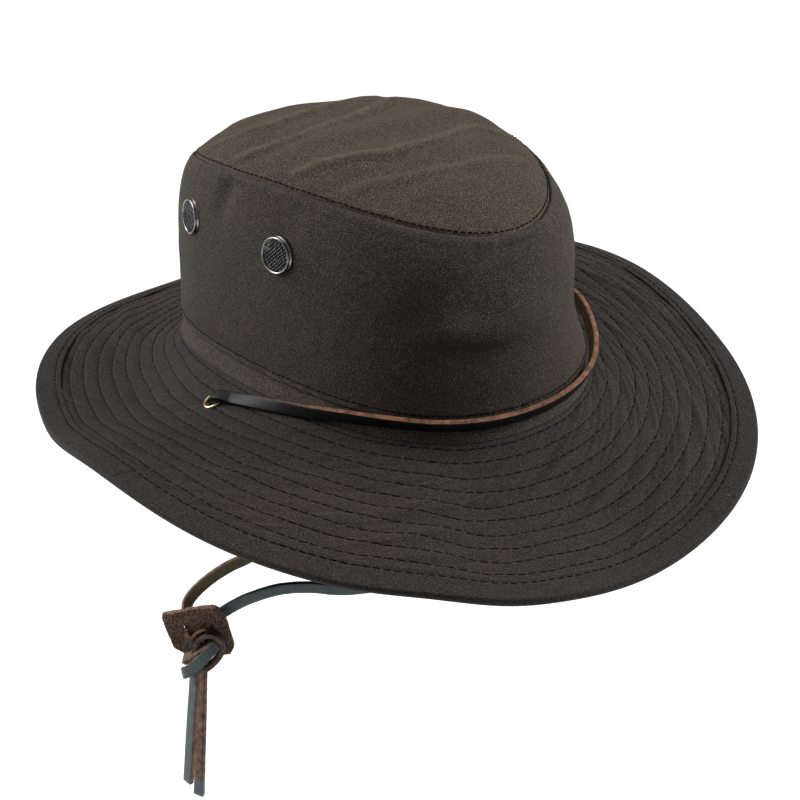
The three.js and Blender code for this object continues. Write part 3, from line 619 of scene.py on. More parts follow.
def noise(tree, scale, detail=2, roughness=0.5):
    return texture(tree, "ShaderNodeTexNoise", Scale=scale, Detail=detail, Roughness=roughness)["Fac"]


# %% Speckle: the fine light and dark grain of waxed thread
def build_speckle():
    tree, taken, given = new_group("speckle", {"Grain Size": 0.9, "Fleck": 0.5}, ["Shade", "Fleck", "Height"])
    fine = per_metre(tree, taken)
    grain = noise(tree, fine, detail=1.5, roughness=0.6)
    coarse = noise(tree, scaled(tree, fine, 0.31), detail=1)
    dots = noise(tree, scaled(tree, fine, 1.3), detail=0)
    shade = spread(tree, share_out(tree, grain, coarse, 0.92), 0.5, 7.5)
    fleck = calculate(tree, "MULTIPLY", spread(tree, dots, 0.63, 8, base=0), taken.outputs["Fleck"])
    set_inputs(tree, given, Shade=shade, Fleck=fleck, Height=grain)
    return tree


speckle_group = build_speckle()


# %% Plain weave: threads that go over and under by turns
def build_weave():
    tree, taken, given = new_group("plain_weave", {"Pitch": 0.6}, ["Height", "Gap"])
    cloth = add_node(tree, "ShaderNodeUVMap", uv_map="cloth").outputs["UV"]
    parts = set_inputs(tree, add_node(tree, "ShaderNodeSeparateXYZ"), Vector=cloth).outputs
    fine = per_metre(tree, taken)
    counts = [calculate(tree, "MULTIPLY", parts[axis], fine) for axis in (0, 1)]
    floors = [calculate(tree, "FLOOR", count) for count in counts]
    first, second = (calculate(tree, "SINE", scaled(tree, calculate(tree, "FRACT", count), math.pi))
                     for count in counts)
    odd = calculate(tree, "PINGPONG", calculate(tree, "ADD", *floors), 1)
    under = calculate(tree, "MULTIPLY", second, calculate(tree, "SUBTRACT", 1, odd))
    gap = calculate(tree, "MULTIPLY", first, second)
    set_inputs(tree, given, Height=scaled(tree, first, odd, under), Gap=gap)
    return tree


weave_group = build_weave()


# %% Mottle: the slow change of colour where wax lies thicker or thinner
def build_mottle():
    tree, taken, given = new_group("mottle", {"Patch Size": 40}, ["Value"])
    patches = noise(tree, per_metre(tree, taken), detail=3, roughness=0.55)
    set_inputs(tree, given, Value=spread(tree, patches, 0.5, 2.4))
    return tree


mottle_group = build_mottle()


# %% Edge wear and painted highlights, where the mesh marks them on cloth and gauze, broken up into spots
def build_wear():
    tree, taken, given = new_group("edge_wear_and_highlight", {"Breakup Size": 2.5}, ["Value"])
    # The mark stands for rubbed wear and for painted highlight alike
    mark = add_node(tree, "ShaderNodeAttribute", attribute_name="wear_and_highlight").outputs["Fac"]
    broken = spread(tree, noise(tree, per_metre(tree, taken)), 0.22, 2.2, base=0)
    set_inputs(tree, given, Value=calculate(tree, "MULTIPLY", mark, broken))
    return tree


wear_and_highlight_group = build_wear()


# %% Leather grain: small pebbles with pores between them
def build_grain():
    tree, taken, given = new_group("leather_grain", {"Pebble Size": 0.5}, ["Height", "Shade"])
    fine = per_metre(tree, taken)
    pebbles = texture(tree, "ShaderNodeTexVoronoi", Scale=fine)["Distance"]
    soft = noise(tree, scaled(tree, fine, 0.4), detail=3)
    set_inputs(tree, given, Height=scaled(tree, pebbles, -0.6, soft), Shade=soft)
    return tree


grain_group = build_grain()
print("shader groups:", [group.name for group in bpy.data.node_groups])

# %% [markdown]
# ## Materials
# Each material keeps its own Principled shader. Waxed cotton is rough, but its wax gives a soft
# sheen at low angles, so the roughness stays under that of plain cloth and a little sheen is added.

# %% A material with a Principled shader, and ways to colour and bump it
def new_material(name, **sockets):
    material = bpy.data.materials.new(name)
    material.use_nodes = True
    tree = material.node_tree
    return material, tree, set_inputs(tree, tree.nodes["Principled BSDF"], **sockets)


def use_group(tree, group, **values):
    return set_inputs(tree, add_node(tree, "ShaderNodeGroup", node_tree=group), **values).outputs


def blend_colours(tree, factor, first, second):
    mix = add_node(tree, "ShaderNodeMix", data_type="RGBA")
    colours = [socket for socket in mix.inputs if socket.type == "RGBA"]
    for socket, value in zip([mix.inputs["Factor"], *colours], (factor, first, second)):
        feed(tree, socket, value)
    return next(socket for socket in mix.outputs if socket.type == "RGBA")


def bump(tree, shader, *layers):
    """Adds heights one on another; each layer has a height and a distance in millimetres."""
    normal = {}
    for height, distance in layers:
        node = add_node(tree, "ShaderNodeBump")
        set_inputs(tree, node, Distance=distance * MM, Height=height, **normal)
        normal = {"Normal": node.outputs["Normal"]}
    set_inputs(tree, shader, **normal)


# %% Waxed cotton, in a few tones that paint how brightly each piece is lit
def waxed_cotton(name, colour):
    dark, light, worn_and_lit_tone, fleck = (tuple(share * channel for channel in colour)
                                       for share in (0.4, 1.7, 2.6, 5))
    material, tree, shader = new_material(
        name, Specular_IOR_Level=0.1, Sheen_Weight=0.02, Sheen_Roughness=0.4, Sheen_Tint=(0.8, 0.66, 0.52))
    speckle = use_group(tree, speckle_group, Grain_Size=0.6, Fleck=0.55)
    mottle = use_group(tree, mottle_group, Patch_Size=34)["Value"]
    weave = use_group(tree, weave_group, Pitch=0.62)
    wear_and_highlight = use_group(tree, wear_and_highlight_group, Breakup_Size=2.2)["Value"]
    base = blend_colours(tree, share_out(tree, speckle["Shade"], mottle, 0.8), dark, light)
    # Painted shade: the cloth's colour is darkened in the gaps between threads
    base = blend_colours(tree, scaled(tree, weave["Gap"], -0.22, 0.22), base, dark)
    base = blend_colours(tree, speckle["Fleck"], base, fleck)
    # Marked places turn toward a pale tone: partly rubbed wear, partly painted highlight where crests and
    # edges catch the light
    base = blend_colours(tree, scaled(tree, wear_and_highlight, 0.7), base, worn_and_lit_tone)
    set_inputs(tree, shader, Base_Color=base, Roughness=scaled(tree, mottle, 0.12, 0.6))
    bump(tree, shader, (speckle["Height"], 0.35), (weave["Height"], 0.1))
    return material


# The one waxed cotton gets a tone per piece set to how brightly that piece is lit: painted light on the
# lighter tip, painted shade on the darker brim and binding
cotton = {
    "tip": waxed_cotton("waxed_cotton_tip_lit_tone", (0.058, 0.0445, 0.0325)),
    "wall": waxed_cotton("waxed_cotton_wall", (0.0445, 0.037, 0.0285)),
    "brim": waxed_cotton("waxed_cotton_brim_shaded_tone", (0.029, 0.0238, 0.0218)),
    "trim": waxed_cotton("waxed_cotton_trim", (0.0275, 0.023, 0.0205)),
    "band": waxed_cotton("waxed_cotton_band", (0.053, 0.0445, 0.0365)),
}


# %% Thread, metal and gauze
def sewing_thread():
    material, tree, shader = new_material("sewing_thread", Roughness=0.7, Specular_IOR_Level=0.08)
    mottle = use_group(tree, mottle_group, Patch_Size=5)["Value"]
    speckle = use_group(tree, speckle_group, Grain_Size=0.2, Fleck=0)
    base = blend_colours(tree, mottle, (0.0015, 0.0012, 0.001), (0.005, 0.004, 0.0032))
    set_inputs(tree, shader, Base_Color=base)
    bump(tree, shader, (speckle["Height"], 0.08))
    return material


def rolled_metal(name, dark, light, roughness):
    material, tree, shader = new_material(name, Metallic=1.0)
    mottle = use_group(tree, mottle_group, Patch_Size=3.5)["Value"]
    scuff = use_group(tree, speckle_group, Grain_Size=0.35, Fleck=0)
    base = blend_colours(tree, mottle, dark, light)
    set_inputs(tree, shader, Base_Color=base, Roughness=scaled(tree, scuff["Shade"], 0.14, roughness))
    bump(tree, shader, (scuff["Height"], 0.03))
    return material


def woven_gauze():
    material, tree, shader = new_material("woven_gauze", Specular_IOR_Level=0.15)
    mottle = use_group(tree, mottle_group, Patch_Size=2)["Value"]
    wear_and_highlight = use_group(tree, wear_and_highlight_group, Breakup_Size=1.2)["Value"]
    base = blend_colours(tree, mottle, (0.002, 0.002, 0.003), (0.008, 0.008, 0.011))
    # Painted highlight: the marked crowns of the strands turn pale grey
    base = blend_colours(tree, wear_and_highlight, base, (0.34, 0.35, 0.38))
    set_inputs(tree, shader, Base_Color=base, Roughness=scaled(tree, mottle, 0.2, 0.34))
    return material


thread = sewing_thread()
nickel = rolled_metal("dark_nickel", (0.1, 0.093, 0.083), (0.44, 0.42, 0.39), 0.18)
brass = rolled_metal("worn_brass", (0.42, 0.33, 0.15), (0.85, 0.72, 0.42), 0.2)
gauze = woven_gauze()


# %% Leather: the lace's grain and cut edge, both fresh and worn, its flesh, and the brown suede
def lace_leather(name, dark, light, roughness, pebble, relief, specular, contrast=1.2):
    material, tree, shader = new_material(name, Specular_IOR_Level=specular)
    grain = use_group(tree, grain_group, Pebble_Size=pebble)
    mottle = use_group(tree, mottle_group, Patch_Size=4)["Value"]
    tone = spread(tree, share_out(tree, grain["Shade"], mottle, 0.55), 0.5, contrast)
    base = blend_colours(tree, tone, dark, light)
    set_inputs(tree, shader, Base_Color=base, Roughness=scaled(tree, grain["Shade"], 0.2, roughness))
    bump(tree, shader, (grain["Height"], relief))
    return material


leather = {
    "grain": lace_leather("lace_grain", (0.0015, 0.0015, 0.0018), (0.005, 0.005, 0.006),
                          roughness=0.4, pebble=0.55, relief=0.06, specular=0.22),
    "edge": lace_leather("lace_cut_edge", (0.055, 0.022, 0.011), (0.34, 0.155, 0.085),
                         roughness=0.6, pebble=0.3, relief=0.24, specular=0.3, contrast=2),
    "flesh": lace_leather("lace_flesh", (0.085, 0.064, 0.035), (0.23, 0.18, 0.105),
                          roughness=0.75, pebble=0.45, relief=0.2, specular=0.15),
    # Painted reflection: a blue grey copy of the black grain, for the stretches that hang
    "grain_with_painted_reflection": lace_leather("lace_grain_painted_reflection", (0.042, 0.062, 0.067), (0.115, 0.158, 0.162),
                          roughness=0.4, pebble=0.55, relief=0.08, specular=0.4),
    "worn": lace_leather("lace_worn_edge", (0.08, 0.045, 0.032), (0.32, 0.21, 0.15),
                         roughness=0.65, pebble=0.3, relief=0.22, specular=0.25, contrast=2.4),
}


def brushed_suede():
    material, tree, shader = new_material("brown_suede", Roughness=0.9, Specular_IOR_Level=0.1)
    nap = use_group(tree, speckle_group, Grain_Size=0.75, Fleck=0.25)
    mottle = use_group(tree, mottle_group, Patch_Size=9)["Value"]
    tone = share_out(tree, nap["Shade"], mottle, 0.7)
    base = blend_colours(tree, tone, (0.05, 0.028, 0.02), (0.48, 0.3, 0.225))
    set_inputs(tree, shader, Base_Color=blend_colours(tree, nap["Fleck"], base, (0.4, 0.3, 0.24)))
    bump(tree, shader, (nap["Height"], 0.5))
    return material


suede = brushed_suede()
print("materials:", len(bpy.data.materials))

# %% [markdown]
# ## From grids of points to meshes
# Most pieces here are a loop of cloth or leather: a section that is carried round or along. So one
# helper joins sections into faces, turns them outward and writes a UV map in metres of cloth.

# %% Meshes from sections
def make_mesh(name, points, faces, materials, face_materials=None, uvs=None, wear_and_highlight=None):
    mesh = bpy.data.meshes.new(name)
    mesh.from_pydata((np.asarray(points) * MM).tolist(), [], faces)
    for material in materials:
        mesh.materials.append(material)
    mesh.polygons.foreach_set("use_smooth", np.ones(len(mesh.polygons), bool))
    if face_materials is not None:
        mesh.polygons.foreach_set("material_index", np.asarray(face_materials, np.int32))
    layer = mesh.uv_layers.new(name="cloth")
    if uvs is not None:
        layer.data.foreach_set("uv", (np.asarray(uvs) * MM).astype(np.float32).ravel())
    if wear_and_highlight is not None:
        marks = mesh.attributes.new("wear_and_highlight", "FLOAT", "POINT")
        marks.data.foreach_set("value", np.asarray(wear_and_highlight, np.float32).ravel())
    mesh.update()
    piece = bpy.data.objects.new(name, mesh)
    bpy.context.collection.objects.link(piece)
    return piece


def faces_inward(points, quads):
    """Whether quads face into the form that they close, from the sign of its volume."""
    points = points - points.mean(0)
    corners = points[np.vstack([quads[:, :3], quads[:, [0, 2, 3]]])]
    return np.einsum("ij,ij->i", corners[:, 0], np.cross(corners[:, 1], corners[:, 2])).sum() < 0


def loop_faces(rows, columns, rows_close, columns_close):
    """Quads of a grid of rows by columns, and the grid places of their corners."""
    row = np.arange(rows if rows_close else rows - 1)
    column = np.arange(columns if columns_close else columns - 1)
    row, column = (grid.ravel() for grid in np.meshgrid(row, column, indexing="ij"))
    corners = np.stack([row, row + 1, row + 1, row], 1), np.stack([column, column, column + 1, column + 1], 1)
    return corners[0] % rows * columns + corners[1] % columns, corners


def section_piece(name, grid, material, uv=None, wear_and_highlight=None):
    """A closed piece from a grid of points: rows run along the section, columns carry it round."""
    rows, columns = grid.shape[:2]
    faces, corners = loop_faces(rows, columns, True, True)
    points = grid.reshape(-1, 3)
    if faces_inward(points, faces):
        faces = faces[:, ::-1]
        corners = tuple(corner[:, ::-1] for corner in corners)
    uvs = None if uv is None else uv(*corners)
    return make_mesh(name, points, faces.tolist(), [material], None, uvs, wear_and_highlight)


def section_lengths(grid):
    """How far along the section each row lies, measured on the cloth."""
    steps = np.linalg.norm(np.diff(grid, axis=0, append=grid[:1]), axis=-1).mean(1)
    return np.concatenate([[0], np.cumsum(steps)])


def wear_and_highlight_marks(grid, first_rows):
    """Marks of wear and painted highlight for the first rows of a grid; the rows behind them carry neither.
    """
    marks = np.zeros(grid.shape[:2])
    first_rows = np.asarray(first_rows, float)
    marks[:len(first_rows)] = first_rows.reshape(len(first_rows), -1)
    return marks


# %% Holes for vents and eyelets
def evaluated_mesh(piece):
    depsgraph = bpy.context.evaluated_depsgraph_get()
    return bpy.data.meshes.new_from_object(piece.evaluated_get(depsgraph))


def frame_at(spot):
    """Rows are two level directions and the normal of a spot."""
    normal = spot["normal"]
    first = unit(np.cross([0, 0, 1.0], normal))
    return np.array([first, np.cross(normal, first), normal])


def circle_at(spot, radius, sides):
    """Points on a circle that stands square to a spot's normal, from its middle."""
    turns = np.arange(sides)[:, None] * 2 * math.pi / sides
    first, second, _ = frame_at(spot)
    return radius * (np.cos(turns) * first + np.sin(turns) * second)


def pierce(piece, spots, radius, reach=6, sides=48):
    """Cuts a round hole through the cloth at each spot, along the spot's normal."""
    points, faces = [], []
    for number, spot in enumerate(spots):
        ring = spot["place"] + circle_at(spot, radius, sides)
        points += [ring + spot["normal"] * height for height in (-reach, reach)]
        quads, _ = loop_faces(2, sides, False, True)
        base = number * 2 * sides
        faces += (quads[:, ::-1] + base).tolist()
        faces += [(np.arange(sides)[::-1] + base).tolist(), (np.arange(sides) + sides + base).tolist()]
    cutter = make_mesh("cutter", np.vstack(points), faces, [])
    cut = piece.modifiers.new("holes", "BOOLEAN")
    cut.object, cut.operation, cut.solver = cutter, "DIFFERENCE", "EXACT"
    whole, pierced = piece.data, evaluated_mesh(piece)
    piece.modifiers.clear()
    piece.data = pierced
    pierced.name = whole.name
    bpy.data.meshes.remove(whole)
    bpy.data.objects.remove(cutter)


# %% Smooth random unevenness, the same each time
def soft_noise(points, size, seed):
    lattice = np.random.default_rng(seed).uniform(-1, 1, (32, 32, 32))
    place = np.asarray(points) / size
    base = np.floor(place).astype(int)
    share = smooth_step(place - base)
    total = 0
    for corner in itertools.product((0, 1), repeat=3):
        weight = np.prod(np.where(corner, share, 1 - share), axis=-1)
        cell = (base + corner) % 32
        total = total + weight * lattice[cell[..., 0], cell[..., 1], cell[..., 2]]
    return total


def uneven(points, *layers):
    """Adds up soft noise; each layer has a height, a size in millimetres and a seed."""
    return sum(height * soft_noise(points, size, seed) for height, size, seed in layers)


def ridge(distance, width):
    return np.exp(-(distance / width) ** 2)


def worn_and_lit_lines(places, *lines):
    """How much wear and painted highlight a row of places carries; each line has its place, its width and its
    strength.
    """
    return sum(strength * ridge(places - line, width) for line, width, strength in lines)


# %% [markdown]
# ## The crown's wall
# The wall is one strip of cloth sewn into an oval. Its lower edge is folded under and stitched to
# the band, and its upper edge is turned in against the tip, which leaves a low welt. The cloth also
# has small soft creases that the broad dents don't describe, and short puckers at each seam.

# %% The wall's face, with creases and puckers
wall_stitch = 2.5 / crown_height


def wall_face(angle, height):
    angle, height = on_grid(angle, height)
    point = wall_point(angle, height)
    up = height * crown_height
    fade = np.clip(np.minimum(height, 1 - height) / 0.1, 0, 1)
    lift = fade * uneven(point, (0.55, 30, 1), (0.22, 12, 2)) + uneven(point, (0.08, 4, 3))
    near_seams = np.exp(-up / 6) + np.exp((up - crown_height) / 7)
    puckered = points_from(angle / 360 * crown_girth / 3.2, up / 9, 0)
    lift += 0.3 * near_seams * soft_noise(puckered, 1, 4)
    lift -= 0.3 * ridge(up - wall_stitch * crown_height, 0.6) + dent_depth(wall_creases, angle, height)
    return point + lift[..., None] * wall_normal(angle, height)


def behind_wall(angle, height, deep):
    return wall_face(angle, height) - wall_normal(angle, height) * deep


# %% Rings up the outside of the wall, over its edge, down the inside and back
round_columns = 600
round_angles = np.arange(round_columns) * 360 / round_columns
outside_heights = np.concatenate([
    np.linspace(0, 0.055, 15)[:-1], np.linspace(0.055, 0.93, 64)[:-1], np.linspace(0.93, 0.988, 16),
])
inside_heights = np.linspace(0.985, 0.004, 26)


def edge_rings(face, normal, u, v, ahead, thickness):
    """Rings that round off a cloth's edge at v; ahead is the way past the edge."""
    turns = np.arange(1, 4) * math.pi / 4
    return [face(u, v) + (ahead * math.sin(turn) - normal(u, v) * (1 - math.cos(turn))) * thickness / 2
            for turn in turns]


def wall_edge(height, near, further):
    """The wall's rounded edge at a height; the heights near it give the way past it."""
    ahead = unit(wall_face(round_angles, near) - wall_face(round_angles, further))
    return edge_rings(wall_face, wall_normal, round_angles, height, ahead, cloth_thickness)


def round_uv(grid):
    """Cloth lengths along the section and round the girth, for pieces that go round the crown."""
    along = section_lengths(grid)
    return lambda row, column: np.stack([column * crown_girth / grid.shape[1], along[row]], -1)


wall_grid = np.array([
    *(wall_face(round_angles, height) for height in outside_heights),
    *wall_edge(outside_heights[-1], 0.985, 0.975),
    *(behind_wall(round_angles, height, cloth_thickness) for height in inside_heights),
    *wall_edge(outside_heights[0], 0, 0.01)[::-1],
])
# The lines at the welt, the folded lower edge and just above the stitch row are partly wear and partly
# painted highlight, where these edges catch the light
wall_wear_and_highlights = worn_and_lit_lines(outside_heights * crown_height, (0.985 * crown_height, 1.2, 0.3), (0, 0.8, 0.8),
                   (wall_stitch * crown_height + 0.9, 0.6, 0.4))
crown_side = section_piece("crown_wall", wall_grid, cotton["wall"], round_uv(wall_grid),
                           wear_and_highlight_marks(wall_grid, wall_wear_and_highlights))
print("crown wall faces:", len(crown_side.data.polygons))

# %% [markdown]
# ## The tip panel
# The tip is one oval of cloth, pressed into soft folds that run from side to side. Its raw edge is
# turned down into the seam. Sharper crests are added over the broad folds, along short routes.

# %% The tip's face, with crests over its folds
fold_crests = [
    {"route": [(-40, 54), (-13, 60)], "height": 0.5, "width": 2.6},
    {"route": [(-58, 36), (-52, 27), (-42, 20), (-22, 23), (4, 31), (26, 35)], "height": 0.9, "width": 2.4},
    {"route": [(-64, 12), (-54, 4), (-40, -1), (-20, 6), (2, 13), (22, 22)], "height": 1.2, "width": 2.3},
    {"route": [(-58, -21), (-44, -28), (-21, -36), (9, -33), (34, -23), (52, -28)],
     "height": 1.2, "width": 2.3},
    {"route": [(-50, -44), (-26, -52), (5, -54), (38, -52)], "height": 0.7, "width": 2.6},
]


def crest_height(x, y):
    total = np.zeros(x.shape)
    for crest in fold_crests:
        nearest = np.full(x.shape, 1e9)
        side = np.zeros(x.shape)
        for (ax, ay), (bx, by) in itertools.pairwise(crest["route"]):
            dx, dy = bx - ax, by - ay
            share = np.clip(((x - ax) * dx + (y - ay) * dy) / (dx * dx + dy * dy), 0, 1)
            off_x, off_y = x - ax - share * dx, y - ay - share * dy
            distance = np.hypot(off_x, off_y)
            turn = np.sign(off_y * dx - off_x * dy)
            side = np.where(distance < nearest, turn, side)
            nearest = np.minimum(nearest, distance)
        trough = 0.45 * ridge(nearest - 2.1 * crest["width"], 1.3 * crest["width"]) * (side < 0)
        total += crest["height"] * (ridge(nearest, crest["width"]) - trough)
    return total * far_calm(x, y)


tip_stitch = 0.987


def tip_face(angle, share):
    angle, share = on_grid(angle, share)
    point = tip_point(angle, share)
    calm = 1 - np.clip(share, 0, 1) ** 10
    lift = crest_height(point[..., 0], point[..., 1]) + uneven(point * [0.45, 1, 1], (0.3, 15, 11))
    lift = calm * (lift + uneven(point, (0.2, 9, 12))) + uneven(point, (0.07, 4, 13))
    edge = (1 - share) * tip_width / 2
    puckered = points_from(angle / 360 * crown_girth / 4, edge / 8, 0)
    lift += 0.28 * np.exp(-edge / 5) * soft_noise(puckered, 1, 14)
    lift -= 0.28 * ridge(edge - (1 - tip_stitch) * tip_width / 2, 0.55)
    lift -= 0.9 * smooth_step((share - 0.988) / 0.012)
    return point + lift[..., None] * tip_normal(angle, share)


# %% Rings out over the tip, down into the seam behind the wall, and back under it
tip_columns = 520
tip_angles = np.arange(tip_columns) * 360 / tip_columns
tip_shares = np.concatenate([np.linspace(0.015, 0.93, 62)[:-1], np.linspace(0.93, 1, 16)])
under_shares = np.linspace(0.975, 0.015, 18)
turned_seam = {
    "height": [0.972, 0.95, 0.925, 0.92, 0.925, 0.95, 0.965],
    "behind": [0.05, 0.05, 0.05, 0.6, 1.1, 1.1, 1.1],
}
tip_grid = np.array([
    *(tip_face(tip_angles, share) for share in tip_shares),
    *edge_rings(tip_face, tip_normal, tip_angles, 1, 0.6 * outward(tip_angles), 0.8 * cloth_thickness),
    *(behind_wall(tip_angles, height, cloth_thickness + behind)
      for height, behind in zip(*turned_seam.values())),
    *(tip_face(tip_angles, share) - tip_normal(tip_angles, share) * cloth_thickness
      for share in under_shares),
])


def capped_piece(name, grid, material, wear_and_highlight):
    """A piece from rings whose first and last ring are closed with a fan round a middle point."""
    rows, columns = grid.shape[:2]
    hub = rows * columns
    points = np.vstack([grid.reshape(-1, 3), grid[0].mean(0), grid[-1].mean(0)])
    quads, _ = loop_faces(rows, columns, False, True)
    here = np.arange(columns)
    after = (here + 1) % columns
    last = (rows - 1) * columns
    parts = [quads, np.stack([np.full(columns, hub), here, after], 1),
             np.stack([np.full(columns, hub + 1), last + after, last + here], 1)]
    if faces_inward(points, quads):
        parts = [part[:, ::-1] for part in parts]
    faces = [face for part in parts for face in part.tolist()]
    plan = points[np.concatenate([part.ravel() for part in parts])][:, :2]
    wear_and_highlight = np.concatenate([wear_and_highlight.ravel(), wear_and_highlight[0, :1], wear_and_highlight[-1, :1]])
    return make_mesh(name, points, faces, [material], None, plan, wear_and_highlight)


tip_top = tip_grid[:len(tip_shares)]
# Painted highlight along the crests of the folds; the line along the tip's edge is partly wear and partly
# painted highlight
crest_highlights = 0.8 * np.clip(1.5 * crest_height(tip_top[..., 0], tip_top[..., 1]) - 0.3, 0, 1)
tip_edge_wear_and_highlight = worn_and_lit_lines(tip_shares * tip_width / 2, (0.99 * tip_width / 2, 0.8, 0.3))
crown_tip = capped_piece("crown_tip_panel", tip_grid, cotton["tip"],
                         wear_and_highlight_marks(tip_grid, crest_highlights + tip_edge_wear_and_highlight[:, None]))
print("tip faces:", len(crown_tip.data.polygons))

# %% [markdown]
# ## Band, brim and binding
# The brim is two flat oval rings of cloth over a stiffener, quilted with rows of stitching about
# 7 mm apart. Thread pulls each row into a shallow channel, and the cloth puckers across it. A strip
# of the same cloth is folded over the edge and stitched through.

# %% The band, a plain strip that goes up inside the wall and is pressed onto the brim's seam
pressed_in = 0.08


def band_rings():
    inner = cloth_thickness + lace_gap
    lap = band_lap / crown_height
    out = outward(round_angles)

    def below(inset, rise):
        point = seam_point(round_angles) - inset * out
        point[..., 2] += rise
        return point

    foot = below(0, -pressed_in)
    shoulder = below(band_inset + inner, band_height - lace_gap)
    top = wall_point(round_angles, lap) - wall_normal(round_angles, lap) * inner
    outer = [foot + (shoulder - foot) * share for share in np.linspace(0, 1, 16)]
    outer += [shoulder + (top - shoulder) * share for share in (0.25, 0.5, 0.75, 1)]
    lifts = [uneven(ring * [1, 1, 2], (0.16, 9, 21)) + uneven(ring, (0.06, 3, 22)) for ring in outer]
    outer = [ring + lift[:, None] * out for ring, lift in zip(outer, lifts)]
    inside = [ring - out * cloth_thickness * 0.75 for ring in outer[::-3]]
    flap = [below(2.6, lace_gap), below(2.8, -brim_thickness - 1.2), below(1.5, -brim_thickness - 1.4),
            below(1.2, -1)]
    return outer + inside + flap


band_grid = np.array(band_rings())
crown_band = section_piece("band_strip", band_grid, cotton["band"], round_uv(band_grid))

# %% The brim's upper and lower faces, quilted by rows of stitches
first_row = 2.5
second_row = 8.95
row_pitch = 7.04
brim_rows = [first_row] + [second_row + row_pitch * step for step in range(9)]
binding_inner = brim_width - binding_width
binding_row = binding_inner + 2.6


def quilting(out):
    channels = sum(ridge(out - row, 0.65) for row in brim_rows)
    between = (out > first_row) & (out < brim_rows[-1])
    return 0.14 * between * np.sin(math.pi * (out - second_row) / row_pitch) ** 2 - 0.34 * channels


def brim_lift(angle, out, side):
    point = brim_point(angle, out)
    around = angle / 360 * (crown_girth + math.pi * out)
    fade = np.clip(np.minimum(out / 4, (brim_width - out) / 6), 0, 1)
    crossing = points_from(around / 4.2, out / 11, side)
    slow = points_from(around / 15, out / 40, side)
    swells = 0.75 * soft_noise(slow, 1, 32) + uneven(point, (0.5, 34, 33))
    lift = quilting(out) + fade * (0.42 * soft_noise(crossing, 1, 31) + side * swells)
    return lift + uneven(point, (0.06, 3.5, 34))


def off_brim(angle, out, lift):
    return brim_point(angle, out) + lift[..., None] * brim_normal(angle, out)


def brim_face(angle, out, side=1):
    """The brim's upper face, or its lower face where side is -1."""
    angle, out = on_grid(angle, out)
    lift = brim_lift(angle, out, side)
    return off_brim(angle, out, lift if side > 0 else -brim_thickness - 0.6 * lift)


# %% Rings out over the brim, round its edge and back under it
brim_columns = 640
brim_angles = np.arange(brim_columns) * 360 / brim_columns
rounded_from = brim_width - 1.6
edge_middle = brim_width - 1.5
top_outs = np.concatenate([
    np.linspace(0, binding_inner, 104), np.linspace(binding_inner + 1.5, rounded_from, 6)])
under_outs = np.concatenate([
    np.linspace(rounded_from, binding_inner, 5), np.linspace(binding_inner - 1, 0, 36)])
edge_out = outward(brim_angles)
brim_grid = np.array([
    *(brim_face(brim_angles, out) for out in top_outs),
    brim_point(brim_angles, edge_middle) + 0.2 * edge_out
    - brim_normal(brim_angles, edge_middle) * brim_thickness / 2,
    *(brim_face(brim_angles, out, -1) for out in under_outs),
])


def plan_uv(grid):
    """Cloth lengths from the plan, for a flat oval cut from one width of cloth."""
    return lambda row, column: grid[row % grid.shape[0], column % grid.shape[1], :2]


brim_rubs = 0.05 + worn_and_lit_lines(top_outs, *((row - 0.9, 0.6, 0.2) for row in brim_rows))
brim = section_piece("stitched_brim", brim_grid, cotton["brim"], plan_uv(brim_grid),
                     wear_and_highlight_marks(brim_grid, brim_rubs))
print("brim faces:", len(brim.data.polygons))


# %% The binding, folded over the brim's edge
binding_height = 1.15
binding_clear = 0.2
binding_girth = crown_girth + 2 * math.pi * brim_width


def binding_lift(angle, out, side):
    around = angle / 360 * binding_girth
    slant = points_from((around + 0.6 * out) / 3.6, (out - 0.4 * around) / 16, side)
    lift = 0.2 * soft_noise(slant, 1, 41) + 0.12 * soft_noise(points_from(around / 11, 0, side), 1, 42)
    return lift - 0.34 * ridge(out - binding_row, 0.7) - 0.1 * ridge(out - binding_inner, 0.8)


def binding_face(angle, out, side=1):
    """The binding's upper face, or its lower face where side is -1."""
    angle, out = on_grid(angle, out)
    lift = binding_lift(angle, out, side)
    if side > 0:
        return off_brim(angle, out, binding_height + lift)
    return off_brim(angle, out, -brim_thickness - binding_height - 0.7 * lift)


def binding_rings():
    """From the upper fold over the top, the nose and the bottom to the lower fold, and back inside."""
    outs = np.concatenate([np.linspace(binding_inner, binding_row + 1.6, 12),
                           np.linspace(binding_row + 2.4, brim_width - 1.7, 8)])
    fold_out = binding_inner - 0.35
    normal = brim_normal(brim_angles, brim_width)
    middle = brim_point(brim_angles, brim_width - 1.7) - normal * brim_thickness / 2
    half = brim_thickness / 2 + binding_height
    thin = binding_height - binding_clear
    bends = np.linspace(math.pi / 2, -math.pi / 2, 9)[1:-1]

    def nose(bends, reach, high):
        return [middle + edge_out * reach * math.cos(bend) + normal * high * math.sin(bend) for bend in bends]

    return [
        *(binding_face(brim_angles, fold_out) - normal * deep for deep in (0.75, 0.4)),
        *(binding_face(brim_angles, out) for out in outs),
        *nose(bends, 1.75, half),
        *(binding_face(brim_angles, out, -1) for out in outs[::-1]),
        *(binding_face(brim_angles, fold_out, -1) + normal * deep for deep in (0.4, 0.75)),
        *(binding_face(brim_angles, out, -1) + normal * thin for out in outs[::3]),
        *nose(bends[::-2], 0.9, half - thin),
        *(binding_face(brim_angles, out) - normal * thin for out in outs[::-3]),
    ]


def bias_uv(grid):
    """Cloth lengths at 45 degrees to the threads, because a binding is cut on the bias."""
    along = section_lengths(grid)

    def place(row, column):
        around = column * binding_girth / grid.shape[1]
        return np.stack([around + along[row], around - along[row]], -1) * math.sqrt(0.5)

    return place


binding_grid = np.array(binding_rings())
fold_rows, plain_rows, nose_rows = 4, 18, 8
